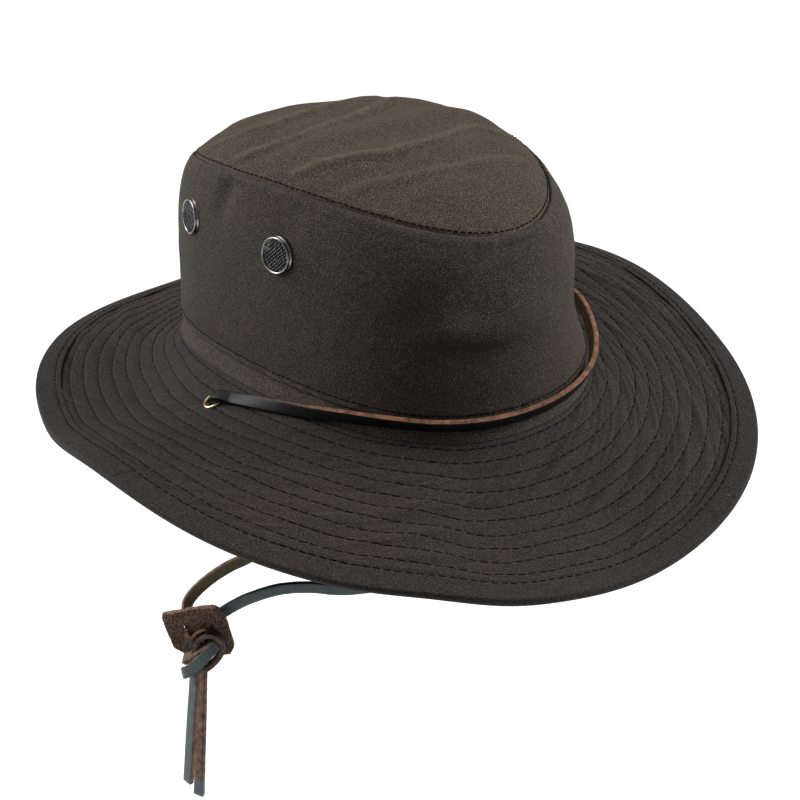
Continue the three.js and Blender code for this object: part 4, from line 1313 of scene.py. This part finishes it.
# The folds and the nose are lightened: partly wear, partly painted highlight where these edges catch the
# light
binding_wear_and_highlights = np.repeat([0.25, 0, 0.16], [fold_rows, plain_rows, nose_rows])
binding = section_piece("edge_binding", binding_grid, cotton["trim"], bias_uv(binding_grid),
                        wear_and_highlight_marks(binding_grid, binding_wear_and_highlights))
print("binding faces:", len(binding.data.polygons))

# %% [markdown]
# ## Stitches
# A stitch could be a dark dash in a texture, but then it has no thickness and no shadow. Each one
# here is a short thread that dives into the cloth at both ends. A row of them follows a face, so it
# sits in its channel, and all the rows on one side of the brim are one mesh.

# %% A row of stitches along a route
def stitch_points(route, normals, pitch, radius, sides, share=0.8, high=0.12, sunk=0.4, seed=5):
    """Points and faces of every stitch along a closed route of dense points, in millimetres."""
    closed = np.vstack([route, route[:1]])
    gaps = np.linalg.norm(np.diff(closed, axis=0), axis=1)
    lengths = np.concatenate([[0], np.cumsum(gaps)])
    total = lengths[-1]
    count = int(round(total / pitch))
    random = np.random.default_rng(seed)
    starts = (np.arange(count) + random.uniform(-0.05, 0.05, count)) * total / count
    steps = np.array([0, 0.2, 0.5, 0.8, 1.0])
    heights = np.array([-sunk, 0.4 * high, high, 0.4 * high, -sunk])
    places = (starts[:, None] + steps * pitch * share) % total
    full_normals = np.vstack([normals, normals[:1]])
    middle = np.stack([np.interp(places, lengths, closed[:, axis]) for axis in range(3)], -1)
    normal = unit(np.stack([np.interp(places, lengths, full_normals[:, axis]) for axis in range(3)], -1))
    middle = middle + heights[:, None] * normal
    along = unit(np.gradient(middle, axis=1))
    side = unit(np.cross(along, normal))
    lift = np.cross(side, along)
    turns = np.arange(sides) * 2 * math.pi / sides
    ring = middle[:, :, None] + radius * (np.cos(turns)[:, None] * side[:, :, None]
                                          + np.sin(turns)[:, None] * lift[:, :, None])
    points = ring.reshape(-1, 3)
    quads, _ = loop_faces(len(steps), sides, False, True)
    base = (np.arange(count) * len(steps) * sides)[:, None, None]
    faces = (quads[None] + base).reshape(-1, 4).tolist()
    ends = np.stack([np.arange(sides)[::-1], np.arange(sides) + (len(steps) - 1) * sides])
    faces += (ends[None] + base).reshape(-1, sides).tolist()
    return points, faces


def stitched_piece(name, rows, pitch, radius, sides=5, **shape):
    """One mesh of several rows; each row is a pair of a route and its normals."""
    points, faces, base = [], [], 0
    for number, (route, normals) in enumerate(rows):
        row_points, row_faces = stitch_points(route, normals, pitch, radius, sides, seed=50 + number, **shape)
        faces += [[corner + base for corner in face] for face in row_faces]
        points.append(row_points)
        base += len(row_points)
    piece = make_mesh(name, np.vstack(points), faces, [thread])
    print(name, "stitches:", len(faces) // (4 * sides + 2))
    return piece


# %% Stitches on the brim, the binding, the wall and the tip
dense = np.arange(1800) * 0.2


def along_brim(face, out, side=1):
    wander = 0.4 * soft_noise(points_from(dense / 6, out, 0), 1, 61)
    return face(dense, out + wander, side), side * brim_normal(dense, out)


stitch_rows = {
    "brim_stitches_top": ([along_brim(brim_face, out) for out in brim_rows],
                          {"pitch": 4.9, "radius": 0.27, "share": 0.96}),
    "brim_stitches_under": ([along_brim(brim_face, out, -1) for out in brim_rows],
                            {"pitch": 4.9, "radius": 0.28, "sides": 3}),
    "binding_stitches": ([along_brim(binding_face, binding_row, side) for side in (1, -1)],
                         {"pitch": 4.2, "radius": 0.3}),
    "wall_stitches": ([(wall_face(dense, wall_stitch), wall_normal(dense, wall_stitch))],
                      {"pitch": 2.9, "radius": 0.3, "high": 0.2}),
    "tip_stitches": ([(tip_face(dense, tip_stitch), tip_normal(dense, tip_stitch))],
                     {"pitch": 2.9, "radius": 0.32, "high": 0.3}),
}
stitches = {name: stitched_piece(name, rows, **shape) for name, (rows, shape) in stitch_rows.items()}

# %% [markdown]
# ## Vents and eyelets
# A vent is a metal collar pressed through the wall, with a disc of woven gauze inside it. Collars
# and eyelets are turned shapes, so a profile is spun round the spot's normal. The gauze is woven
# from real strips, over and under by turns, because its cells are wide enough to be seen.

# %% Vent and eyelet rims
vent_ahead = 18.2
vent_behind = 16.2
vent_level = 0.686
vent_radius = 8.7
vent_bore = 7.2
vent_tuck = 0.4
vent_rise = 1.7
eyelet_bore = 3.4
barrel_wall = 0.56


def spun_ring(name, spot, profile, material, sides=72):
    centre = spot["place"] + spot["normal"] * spot["lift"]
    rings = [centre + circle_at(spot, radius, sides) + height * spot["normal"] for radius, height in profile]
    return section_piece(name, np.array(rings), material)


def arc_profile(middle, reach, level, high, past=0.0):
    """Half a turn from the outer side over the top to the inner side, or a little past it at both ends."""
    return [(middle + reach * math.cos(turn), level + high * math.sin(turn))
            for turn in np.linspace(-past, math.pi + past, 15)]


def rolled_profile(bore, outer, high, deep):
    """A flange rolled over into a bead, with a barrel that goes down through the cloth."""
    bead = (outer - bore) / 2
    seat = 0.25
    lip = [(bore - 0.1, seat - 0.2), (bore, -deep + 0.4), (bore + 0.2, -deep), (bore + 0.5, -deep)]
    back = [(bore + 0.55, -0.4), (bore + 0.6, seat), (outer - 0.25, seat - 0.05)]
    return arc_profile(bore + bead, bead, seat, high) + lip + back


def collar_profile(bore, flange, high, deep):
    """A raised collar: a round bead on top, a barrel through the cloth and a flange that lies on it."""
    bead = 0.5
    middle = bore + 0.15
    barrel = [(bore, 0.4), (bore, -deep + 0.4), (bore + 0.2, -deep), (bore + 0.5, -deep),
              (bore + 0.55, -0.45)]
    foot = [(flange - 0.3, -0.35), (flange, -0.12), (flange - 0.1, 0.1), (middle + 0.6, 0.3),
            (middle + 0.45, 0.8)]
    return arc_profile(middle, bead, high - bead, bead, past=0.5) + barrel + foot


vents = {}
for side, middle, turn in (("right", side_middle, 1), ("left", 180 - side_middle, -1)):
    for end, shift in (("front", vent_ahead), ("rear", -vent_behind)):
        angle = middle + turn * shift
        vents[f"{side}_{end}"] = spot_on(wall_point, wall_normal, angle, vent_level, vent_radius, 0.01)
vent_profile = collar_profile(vent_bore, vent_radius - vent_tuck, vent_rise, cloth_thickness + 0.8)
eyelet_profile = rolled_profile(eyelet_bore, eyelet_radius, eyelet_flange, brim_thickness + 0.3)
rims = {}
for name, spot in vents.items():
    rims[name] = spun_ring(f"vent_ring_{name}", spot, vent_profile, nickel)
for name, spot in eyelets.items():
    rims[f"eyelet_{name}"] = spun_ring(f"brass_ring_{name}", spot, eyelet_profile, brass, sides=56)

pierce(crown_side, vents.values(), vent_bore + barrel_wall)
pierce(brim, eyelets.values(), eyelet_bore + barrel_wall)
print("pierced wall and brim:", len(crown_side.data.polygons), len(brim.data.polygons))

# %% The gauze, woven from flat strips
gauze_radius = 7.1
gauze_rise = 0.7
strand_pitch = 1.25
strand_half = 0.38
strand_wave = 0.24
strand_section = [(-1, 0.02), (-0.5, 0.16), (0.5, 0.16), (1, 0.02), (0.5, -0.12), (-0.5, -0.12)]
weave_lean = math.radians(42)
pressed_radius = 5.4


def woven_disc(name, spot):
    first, second, normal = frame_at(spot)
    centre = spot["place"] + normal * (spot["lift"] + gauze_rise)
    points, faces, marks, base = [], [], [], 0
    for way in (0, 1):
        along, beside = (math.cos(turn) * first + math.sin(turn) * second
                         for turn in weave_lean + np.array([way, way + 1]) * math.pi / 2)
        for number, offset in enumerate(np.arange(-5, 6) * strand_pitch):
            reach = math.sqrt(gauze_radius**2 - offset**2)
            steps = np.linspace(-reach, reach, max(6, int(reach * 2 / strand_pitch * 5)))
            wave = strand_wave * np.sin(math.pi * (steps / strand_pitch + number + way + 0.5))
            pressed = 0.3 * ridge(np.hypot(steps, offset) - pressed_radius, 0.6)
            line = centre + along * steps[:, None] + beside * offset + normal * (wave + pressed)[:, None]
            points += [line + beside * strand_half * x + normal * z for x, z in strand_section]
            quads, _ = loop_faces(len(strand_section), len(steps), True, False)
            ends = np.arange(len(strand_section)) * len(steps) + base
            faces += (quads + base).tolist() + [ends[::-1].tolist(), (ends + len(steps) - 1).tolist()]
            # Painted highlight on the top faces of the strands where they cross over
            crown_highlight = np.clip(wave / strand_wave, 0, 1) ** 3
            marks += [crown_highlight * (height > 0.1) for _, height in strand_section]
            base += len(strand_section) * len(steps)
    return make_mesh(name, np.vstack(points), faces, [gauze], wear_and_highlight=np.concatenate(marks))


gauzes = {name: woven_disc(f"woven_gauze_{name}", spot) for name, spot in vents.items()}
print("gauze faces:", len(gauzes["right_front"].data.polygons))

# %% [markdown]
# ## The lace
# The strip is cut from black leather: smooth black grain on one side, pale flesh on the other and
# raw tan along both cuts. Where it hangs, the black grain takes a lighter blue grey, a painted
# reflection, and the cuts are worn.
# Its section is a flat shape with slightly rounded corners, and each side takes its own material.

# %% A flat strip along stations
grain_side, cut_side, flesh_side, reflection_grain_side, worn_side = range(5)
strip_materials = [leather[face] for face in ("grain", "edge", "flesh", "grain_with_painted_reflection", "worn")]
corner_cut = 0.38


def strip_section(front, back_side, top_edge, low_edge):
    """Corner places round the strip, and the material of the side after each corner."""
    w, h, c = lace_width / 2, lace_thickness / 2, corner_cut
    return [
        (w, h - c, top_edge), (w - 0.35 * c, h - 0.3 * c, front), (w - c, h, front),
        (w / 2, h + 0.05, front), (0, h + 0.08, front), (-w / 2, h + 0.05, front),
        (c - w, h, front), (0.35 * c - w, h - 0.3 * c, low_edge), (-w, h - c, low_edge),
        (-w - 0.04, 0, low_edge), (-w, c - h, low_edge), (0.35 * c - w, 0.3 * c - h, back_side),
        (c - w, -h, back_side), (-w / 2, -h + 0.03, back_side), (0, -h + 0.05, back_side),
        (w / 2, -h + 0.03, back_side), (w - c, -h, back_side), (w - 0.35 * c, 0.3 * c - h, top_edge),
        (w, c - h, top_edge), (w + 0.04, 0, top_edge),
    ]


def strip_along(stations, front, back_side, edges, seed):
    """A grid of points along the stations, and the material of each of its long sides."""
    section = strip_section(front, back_side, *edges)
    centres = np.array([station[0] for station in stations])
    faces = np.array([station[1] for station in stations])
    along = unit(np.gradient(centres, axis=0))
    face = unit(faces - along * np.einsum("ij,ij->i", faces, along)[:, None])
    across = np.cross(along, face)
    grid = np.array([centres + across * x + face * y for x, y, _ in section])
    grid = grid + uneven(grid, (0.07, 2.4, seed))[..., None] * unit(grid - centres)
    return grid, [side for _, _, side in section]


def capped_strips(name, strips):
    """One mesh of one or more strips, each closed at both ends."""
    points, faces, marks, base = [], [], [], 0
    for grid, sides in strips:
        rows, columns = grid.shape[:2]
        quads, corners = loop_faces(rows, columns, True, False)
        block = grid.reshape(-1, 3)
        if faces_inward(block, quads):
            quads = quads[:, ::-1]
        rim = np.arange(rows) * columns
        ends = [rim[::-1], rim + columns - 1]
        if np.cross(*(block[rim[[5, 10]]] - block[rim[0]])) @ (grid[0, 0] - grid[0, 1]) > 0:
            ends = [end[::-1] for end in ends]
        faces += (quads + base).tolist() + [(end + base).tolist() for end in ends]
        marks += np.asarray(sides)[corners[0].min(1) % rows].tolist() + [cut_side, cut_side]
        points.append(block)
        base += len(block)
    return make_mesh(name, np.vstack(points), faces, strip_materials, marks)


def strip_piece(name, stations, front, edges, seed):
    back_side = reflection_grain_side if front == flesh_side else flesh_side
    return capped_strips(name, [strip_along(stations, front, back_side, edges, seed)])


lace = {
    "round": strip_piece("lace_round_the_crown", round_stations, grain_side, (grain_side, cut_side), 71),
    "near": strip_piece("lace_hanging_near", near_stations, flesh_side, (worn_side, worn_side), 72),
    "far": strip_piece("lace_hanging_far", far_stations, reflection_grain_side, (grain_side, cut_side), 73),
    "short": strip_piece("lace_end_short", tail_stations["short"], reflection_grain_side, (cut_side, cut_side), 74),
    "long": strip_piece("lace_end_long", tail_stations["long"], worn_side, (worn_side, worn_side), 75),
}
print("lace faces:", {name: len(piece.data.polygons) for name, piece in lace.items()})

# %% The last stretch of the long end, whose cuts aren't worn brown but take the blue grey of the painted reflection
unworn_length = 9.5
unworn_level = (tail_stations["long"][-1][0][2] + unworn_length) * MM
for face in lace["long"].data.polygons:
    if face.material_index == worn_side and face.center.z < unworn_level:
        face.material_index = reflection_grain_side

# %% [markdown]
# ## The slider and the knot
# Both strands pass through two slits in a scrap of suede and are then tied together in one overhand
# knot. The suede is a flat outline with rounded edges, so it is cut as a filled curve, remeshed to
# small even faces and roughened. The knot is strips again, laid one by one along the turns that show:
# a wrap across the front, a loop that stands over it, and the two ends that drop out below.

# %% The suede slider
slider_outline = [
    (-16.4, 9.8), (-15.6, 5), (-12.2, -8.6), (-7, -12.7), (3, -13.2), (14.6, -13), (16.7, -8.5),
    (13.2, 9), (11, 12.2), (8, 13.6), (-3, 12.4),
]
slot_length = 8
slot_width = lace_thickness + 2 * lace_gap
slot_room = 0.25
rim_share = 0.18
slider_voxel = 0.42


def add_outline(curve, corners):
    line = curve.splines.new("POLY")
    line.points.add(len(corners) - 1)
    for point, (x, y) in zip(line.points, corners):
        point.co = (x * MM, y * MM, 0, 1)
    line.use_cyclic_u = True


def soft_outline(corners):
    """Rounds a closed outline by cutting its corners twice."""
    for cut in (0.1, 0.25):
        keep = 1 - cut
        nexts = corners[1:] + corners[:1]
        pairs = [((keep * ax + cut * bx, keep * ay + cut * by), (cut * ax + keep * bx, cut * ay + keep * by))
                 for (ax, ay), (bx, by) in zip(corners, nexts)]
        corners = [corner for pair in pairs for corner in pair]
    return corners


def cut_slider():
    curve = bpy.data.curves.new("slider_cut", "CURVE")
    curve.dimensions = "2D"
    curve.fill_mode = "BOTH"
    curve.extrude = slider_thickness / 2 * (1 - rim_share) * MM
    curve.bevel_depth = slider_thickness / 2 * rim_share * MM
    curve.bevel_resolution = 2
    add_outline(curve, soft_outline(slider_outline))
    for (across, rise), length in zip(slots, (slot_length, lace_width)):
        w, h = slot_width / 2 + slot_room, length / 2
        add_outline(curve, [(across + x * w, rise + y * h) for x, y in ((-1, -1), (-1, 1), (1, 1), (1, -1))])
    blank = bpy.data.objects.new("slider_blank", curve)
    bpy.context.collection.objects.link(blank)
    remesh = blank.modifiers.new("even_faces", "REMESH")
    remesh.mode = "VOXEL"
    remesh.voxel_size = slider_voxel * MM
    mesh = evaluated_mesh(blank)
    bpy.data.objects.remove(blank)
    bpy.data.curves.remove(curve)
    return mesh


def roughen_slider(mesh):
    """Gives the cut suede its nap and its curled sides, and sets it in its place."""
    places = np.empty(len(mesh.vertices) * 3)
    normals = np.empty(len(mesh.vertices) * 3)
    mesh.vertices.foreach_get("co", places)
    mesh.vertex_normals.foreach_get("vector", normals)
    local = places.reshape(-1, 3) / MM
    local = local + uneven(local, (0.16, 2.2, 81), (0.1, 0.9, 82))[:, None] * normals.reshape(-1, 3)
    curl = 0.9 * (local[:, 0] / 16) ** 2 * np.sign(local[:, 0] + 4) + uneven(local * [1, 1, 0], (0.5, 12, 83))
    out = local[:, 2] + 0.6 * curl * (np.abs(local[:, 0]) > 8)
    world = slider_place + local[:, :1] * slider_across + out[:, None] * slider_out
    world[:, 2] += local[:, 1]
    mesh.vertices.foreach_set("co", (world * MM).ravel())
    mesh.update()


slider_mesh = cut_slider()
roughen_slider(slider_mesh)
slider_mesh.name = "suede_slider"
slider_mesh.materials.clear()
slider_mesh.materials.append(suede)
slider_mesh.polygons.foreach_set("use_smooth", np.ones(len(slider_mesh.polygons), bool))
slider = bpy.data.objects.new("suede_slider", slider_mesh)
bpy.context.collection.objects.link(slider)
print("slider faces:", len(slider_mesh.polygons))


# %% Loose fibres along the slider's cut edge
fibre_count = 420
fibre_radius = 0.07
fibre_root = 0.35


def edge_fibres():
    random = np.random.default_rng(91)
    corners = np.array(soft_outline(slider_outline))
    closed = np.vstack([corners, corners[:1]])
    middle = corners.mean(0)
    points, faces = [], []
    for number in range(fibre_count):
        place = random.uniform(0, len(corners))
        row = int(place)
        start = closed[row] + (closed[row + 1] - closed[row]) * (place - row)
        out = unit(start - middle)
        tangled = unit(out + random.normal(0, 0.55, 2))
        ragged = 1.5 if start[0] < -11 else 1
        length = ragged * (random.uniform(0.4, 1.1) + (random.random() > 0.9) * random.uniform(0.4, 1.2))
        depth = random.uniform(-0.45, 0.45) * slider_thickness
        foot = start - out * fibre_root
        for step, radius in ((0, fibre_radius), (0.6, fibre_radius * 0.7)):
            for turn in (0, 2.1, 4.2):
                x, y = foot + tangled * length * step + random.normal(0, 0.02, 2)
                points.append(on_slider((x + radius * math.cos(turn), depth + radius * math.sin(turn), y)))
        x, y = foot + tangled * length + random.normal(0, 0.12, 2)
        points.append(on_slider((x, depth + random.normal(0, 0.1), y)))
        base = number * 7
        for a, b in ((0, 1), (1, 2), (2, 0)):
            faces.append([base + a, base + b, base + 3 + b, base + 3 + a])
            faces.append([base + 3 + a, base + 3 + b, base + 6])
        faces.append([base + 2, base + 1, base])
    return make_mesh("suede_fibres", np.array(points), faces, [suede])


fibres = edge_fibres()

# %% The knot's strips; places are across, out and up on the slider
knot_strips = {
    "near_out": {
        "from": 0, "front": flesh_side, "edges": cut_side, "turns": [90, 100, 125, 150, 160],
        "places": [(-3.6, 6, -1.6), (-1.4, 6.8, -3.6), (0.8, 6, -6.6)]},
    "far_out": {
        "from": 1, "front": grain_side, "edges": cut_side, "turns": [90, 70, 30, 10, 0],
        "places": [(3.6, 5.6, 1.4), (1.6, 6.4, 1.2), (-0.6, 6.2, -2)]},
    "back_wrap": {
        "front": flesh_side, "edges": worn_side, "middle": (6, -16),
        "places": [(-6.6, 6.6, -11.6), (-4.6, 7.6, -10), (-0.8, 8.2, -7.4), (3.4, 8.2, -4.4),
                   (7.4, 7.4, -1.6)]},
    "front_wrap": {
        "front": reflection_grain_side, "edges": worn_side, "turns": [-70, -30, -8, 0, 0, 5, 20, 60], "tilt": 22,
        "places": [(-4.6, 5.4, -19.6), (-7.2, 8, -18.4), (-6.2, 10.2, -16.8), (-2.6, 11, -13.4),
                   (1.2, 11.2, -9.8), (5, 10.8, -6), (8, 9.4, -3.2), (9.2, 6.6, -2.2)]},
    "loop": {
        "front": grain_side, "edges": worn_side, "middle": (4.6, -6),
        "places": [(-1.8, 5.8, -10.6), (-1.6, 6.2, -5.8), (0.6, 6.4, -0.6), (4.8, 6.4, 2.4), (8.8, 6.4, 1.6),
                   (11.6, 6.2, -2.4), (11.6, 6, -6.8), (9.6, 5.6, -11.2), (6, 5.2, -15.6), (1.8, 5, -19)]},
    "short_start": {
        "front": reflection_grain_side, "edges": cut_side, "turns": [-38],
        "places": [(1, 5.2, -15), (-1.6, 5.4, -18.4), (-2.9, 5.6, -21.6), (-3, 5.6, -24.3)]},
    "long_start": {
        "front": reflection_grain_side, "edges": worn_side, "turns": [-38],
        "places": [(2.6, 4.6, -13), (1.6, 3.4, -17), (0, 0, -20.6), (-0.2, -0.6, -22.4),
                   (-0.2, -0.6, -24.3)]},
}


def knot_stations(strip):
    """A strip faces away from its middle, or by its table of turns, whose last one holds on."""
    places = strip["places"]
    if "from" in strip:
        start = slider_thickness / 2 + 2 * lace_gap
        slot = slots[strip["from"]]
        places = [in_slot(slot, start), in_slot(slot, start + lace_thickness)] + places
    tilt = math.radians(strip.get("tilt", 0))
    rows = []
    for number, point in enumerate(places):
        if "middle" in strip:
            across, rise = strip["middle"]
            face = unit((point[0] - across) * slider_across + np.array([0, 0, point[2] - rise]))
        else:
            turn = strip["turns"][min(number, len(strip["turns"]) - 1)]
            face = slider_face(turn) * math.cos(tilt) + np.array([0, 0, math.sin(tilt)])
        rows.append((on_slider(point), face))
    return smooth_stations(rows, 0.8)


def knot_piece():
    strips = []
    for number, strip in enumerate(knot_strips.values()):
        back_side = grain_side if strip["front"] == flesh_side else flesh_side
        edges = strip["edges"], strip["edges"]
        strips.append(strip_along(knot_stations(strip), strip["front"], back_side, edges, 100 + number))
    return capped_strips("overhand_knot", strips)


knot = knot_piece()
print("knot faces:", len(knot.data.polygons))

# %% [markdown]
# ## Floor and light
# The hat is held up as if worn, so nothing touches the floor. Large soft lights stand on both sides
# and above; the side that faces the camera gets the least light, as in a simple product picture.
# The pale floor and the pale wall round it are seen, but no diffuse light comes from them.

# %% The floor and the wall round it
floor_level = -1200 * MM
floor_half = 8
backdrop_sides = 48
backdrop_far = floor_half * 0.98
backdrop_high = 8


def pale_surface():
    material, tree, shader = new_material("pale_floor", Roughness=0.9, Specular_IOR_Level=0.1,
                                          Emission_Color=(1, 1, 1), Emission_Strength=1.0)
    mottle = use_group(tree, mottle_group, Patch_Size=400)["Value"]
    base = blend_colours(tree, mottle, (0.5, 0.5, 0.5), (0.52, 0.52, 0.52))
    set_inputs(tree, shader, Base_Color=base)
    return material


def stage_piece(name, points, faces):
    mesh = bpy.data.meshes.new(name)
    mesh.from_pydata(points, [], faces)
    mesh.materials.append(pale)
    piece = bpy.data.objects.new(name, mesh)
    bpy.context.collection.objects.link(piece)
    piece.visible_diffuse = False
    return piece


pale = pale_surface()
square = [(x * floor_half, y * floor_half, floor_level) for x, y in ((-1, -1), (1, -1), (1, 1), (-1, 1))]
floor = stage_piece("studio_floor", square, [[0, 1, 2, 3]])
turns = np.arange(backdrop_sides) * 2 * math.pi / backdrop_sides
rings = [(backdrop_far * math.cos(turn), backdrop_far * math.sin(turn), height)
         for height in (floor_level, floor_level + backdrop_high) for turn in turns]
faces, _ = loop_faces(2, backdrop_sides, False, True)
backdrop = stage_piece("studio_backdrop", rings, faces.tolist())
backdrop.visible_glossy = backdrop.visible_shadow = False


# %% Soft lights and a pale sky
light_aim = Vector((0, 0, 0.02))


def soft_light(name, across, rise, toward, size, power):
    """A lamp placed to the right of the view, above it and toward the camera, in metres."""
    place = level * across + Vector((0, 0, rise)) + Vector((back.x, back.y, 0)).normalized() * toward
    data = bpy.data.lights.new(name, "AREA")
    data.shape = "RECTANGLE"
    data.size, data.size_y = size
    data.energy = power
    lamp = bpy.data.objects.new(name, data)
    bpy.context.collection.objects.link(lamp)
    lamp.location = place
    lamp.rotation_euler = (light_aim - place).to_track_quat("-Z", "Y").to_euler()


soft_light("left_box", -1.3, 0.75, -0.2, (0.9, 1.1), 26)
soft_light("right_box", 1.3, 0.7, -0.2, (0.9, 1.1), 26)
soft_light("top_box", -0.2, 1.6, -0.5, (1.4, 1.0), 8)
world = bpy.data.worlds.new("pale_sky")
world.use_nodes = True
sky = world.node_tree
set_inputs(sky, sky.nodes["Background"], Color=(1, 1, 1), Strength=0.21)
bpy.context.scene.world = world
bpy.context.scene.view_settings.view_transform = "Standard"

# %% [markdown]
# ## What each piece stands for
# Every dressed piece rides on the one body and replaces its plain solid. The hanging stretches and
# the free ends are cords, and the length of each is printed.

# %% Ride and replace
stands_for = [
    (crown_side, "waxed_cotton", ["crown_side"]),
    (crown_tip, "waxed_cotton", ["crown_tip"]),
    (crown_band, "waxed_cotton_trim", ["crown_band"]),
    (brim, "waxed_cotton", ["brim"]),
    (binding, "waxed_cotton_trim", ["brim_binding"]),
    (lace["round"], "lace_leather", ["lace_round_crown"]),
    (lace["near"], "lace_leather", ["lace_strand_near"]),
    (lace["far"], "lace_leather", ["lace_strand_far"]),
    (lace["short"], "lace_leather", ["lace_tail_short"]),
    (lace["long"], "lace_leather", ["lace_tail_long"]),
    (knot, "lace_leather", ["lace_knot"]),
    (slider, "slider_suede", ["lace_slider"]),
    (fibres, "slider_suede", []),
    *((piece, "waxed_cotton", []) for piece in stitches.values()),
    *((rims[name], "vent_metal", [f"vent_rim_{name}"]) for name in vents),
    *((gauzes[name], "vent_gauze", [f"vent_mesh_{name}"]) for name in vents),
    *((rims[f"eyelet_{name}"], "eyelet_brass", [f"brim_eyelet_{name}"]) for name in eyelets),
]
for piece, finish, nodes in stands_for:
    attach(piece, "root")
    if nodes:
        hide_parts(*nodes)

# %% The cords
for name, stations, ending, others in (
    ("near", near_stations, "knot", [slider, knot, fibres]), ("far", far_stations, "knot", []),
    ("short", tail_stations["short"], "bare", []), ("long", tail_stations["long"], "bare", []),
):
    print("cord", name, round(route_length(stations)), "mm")
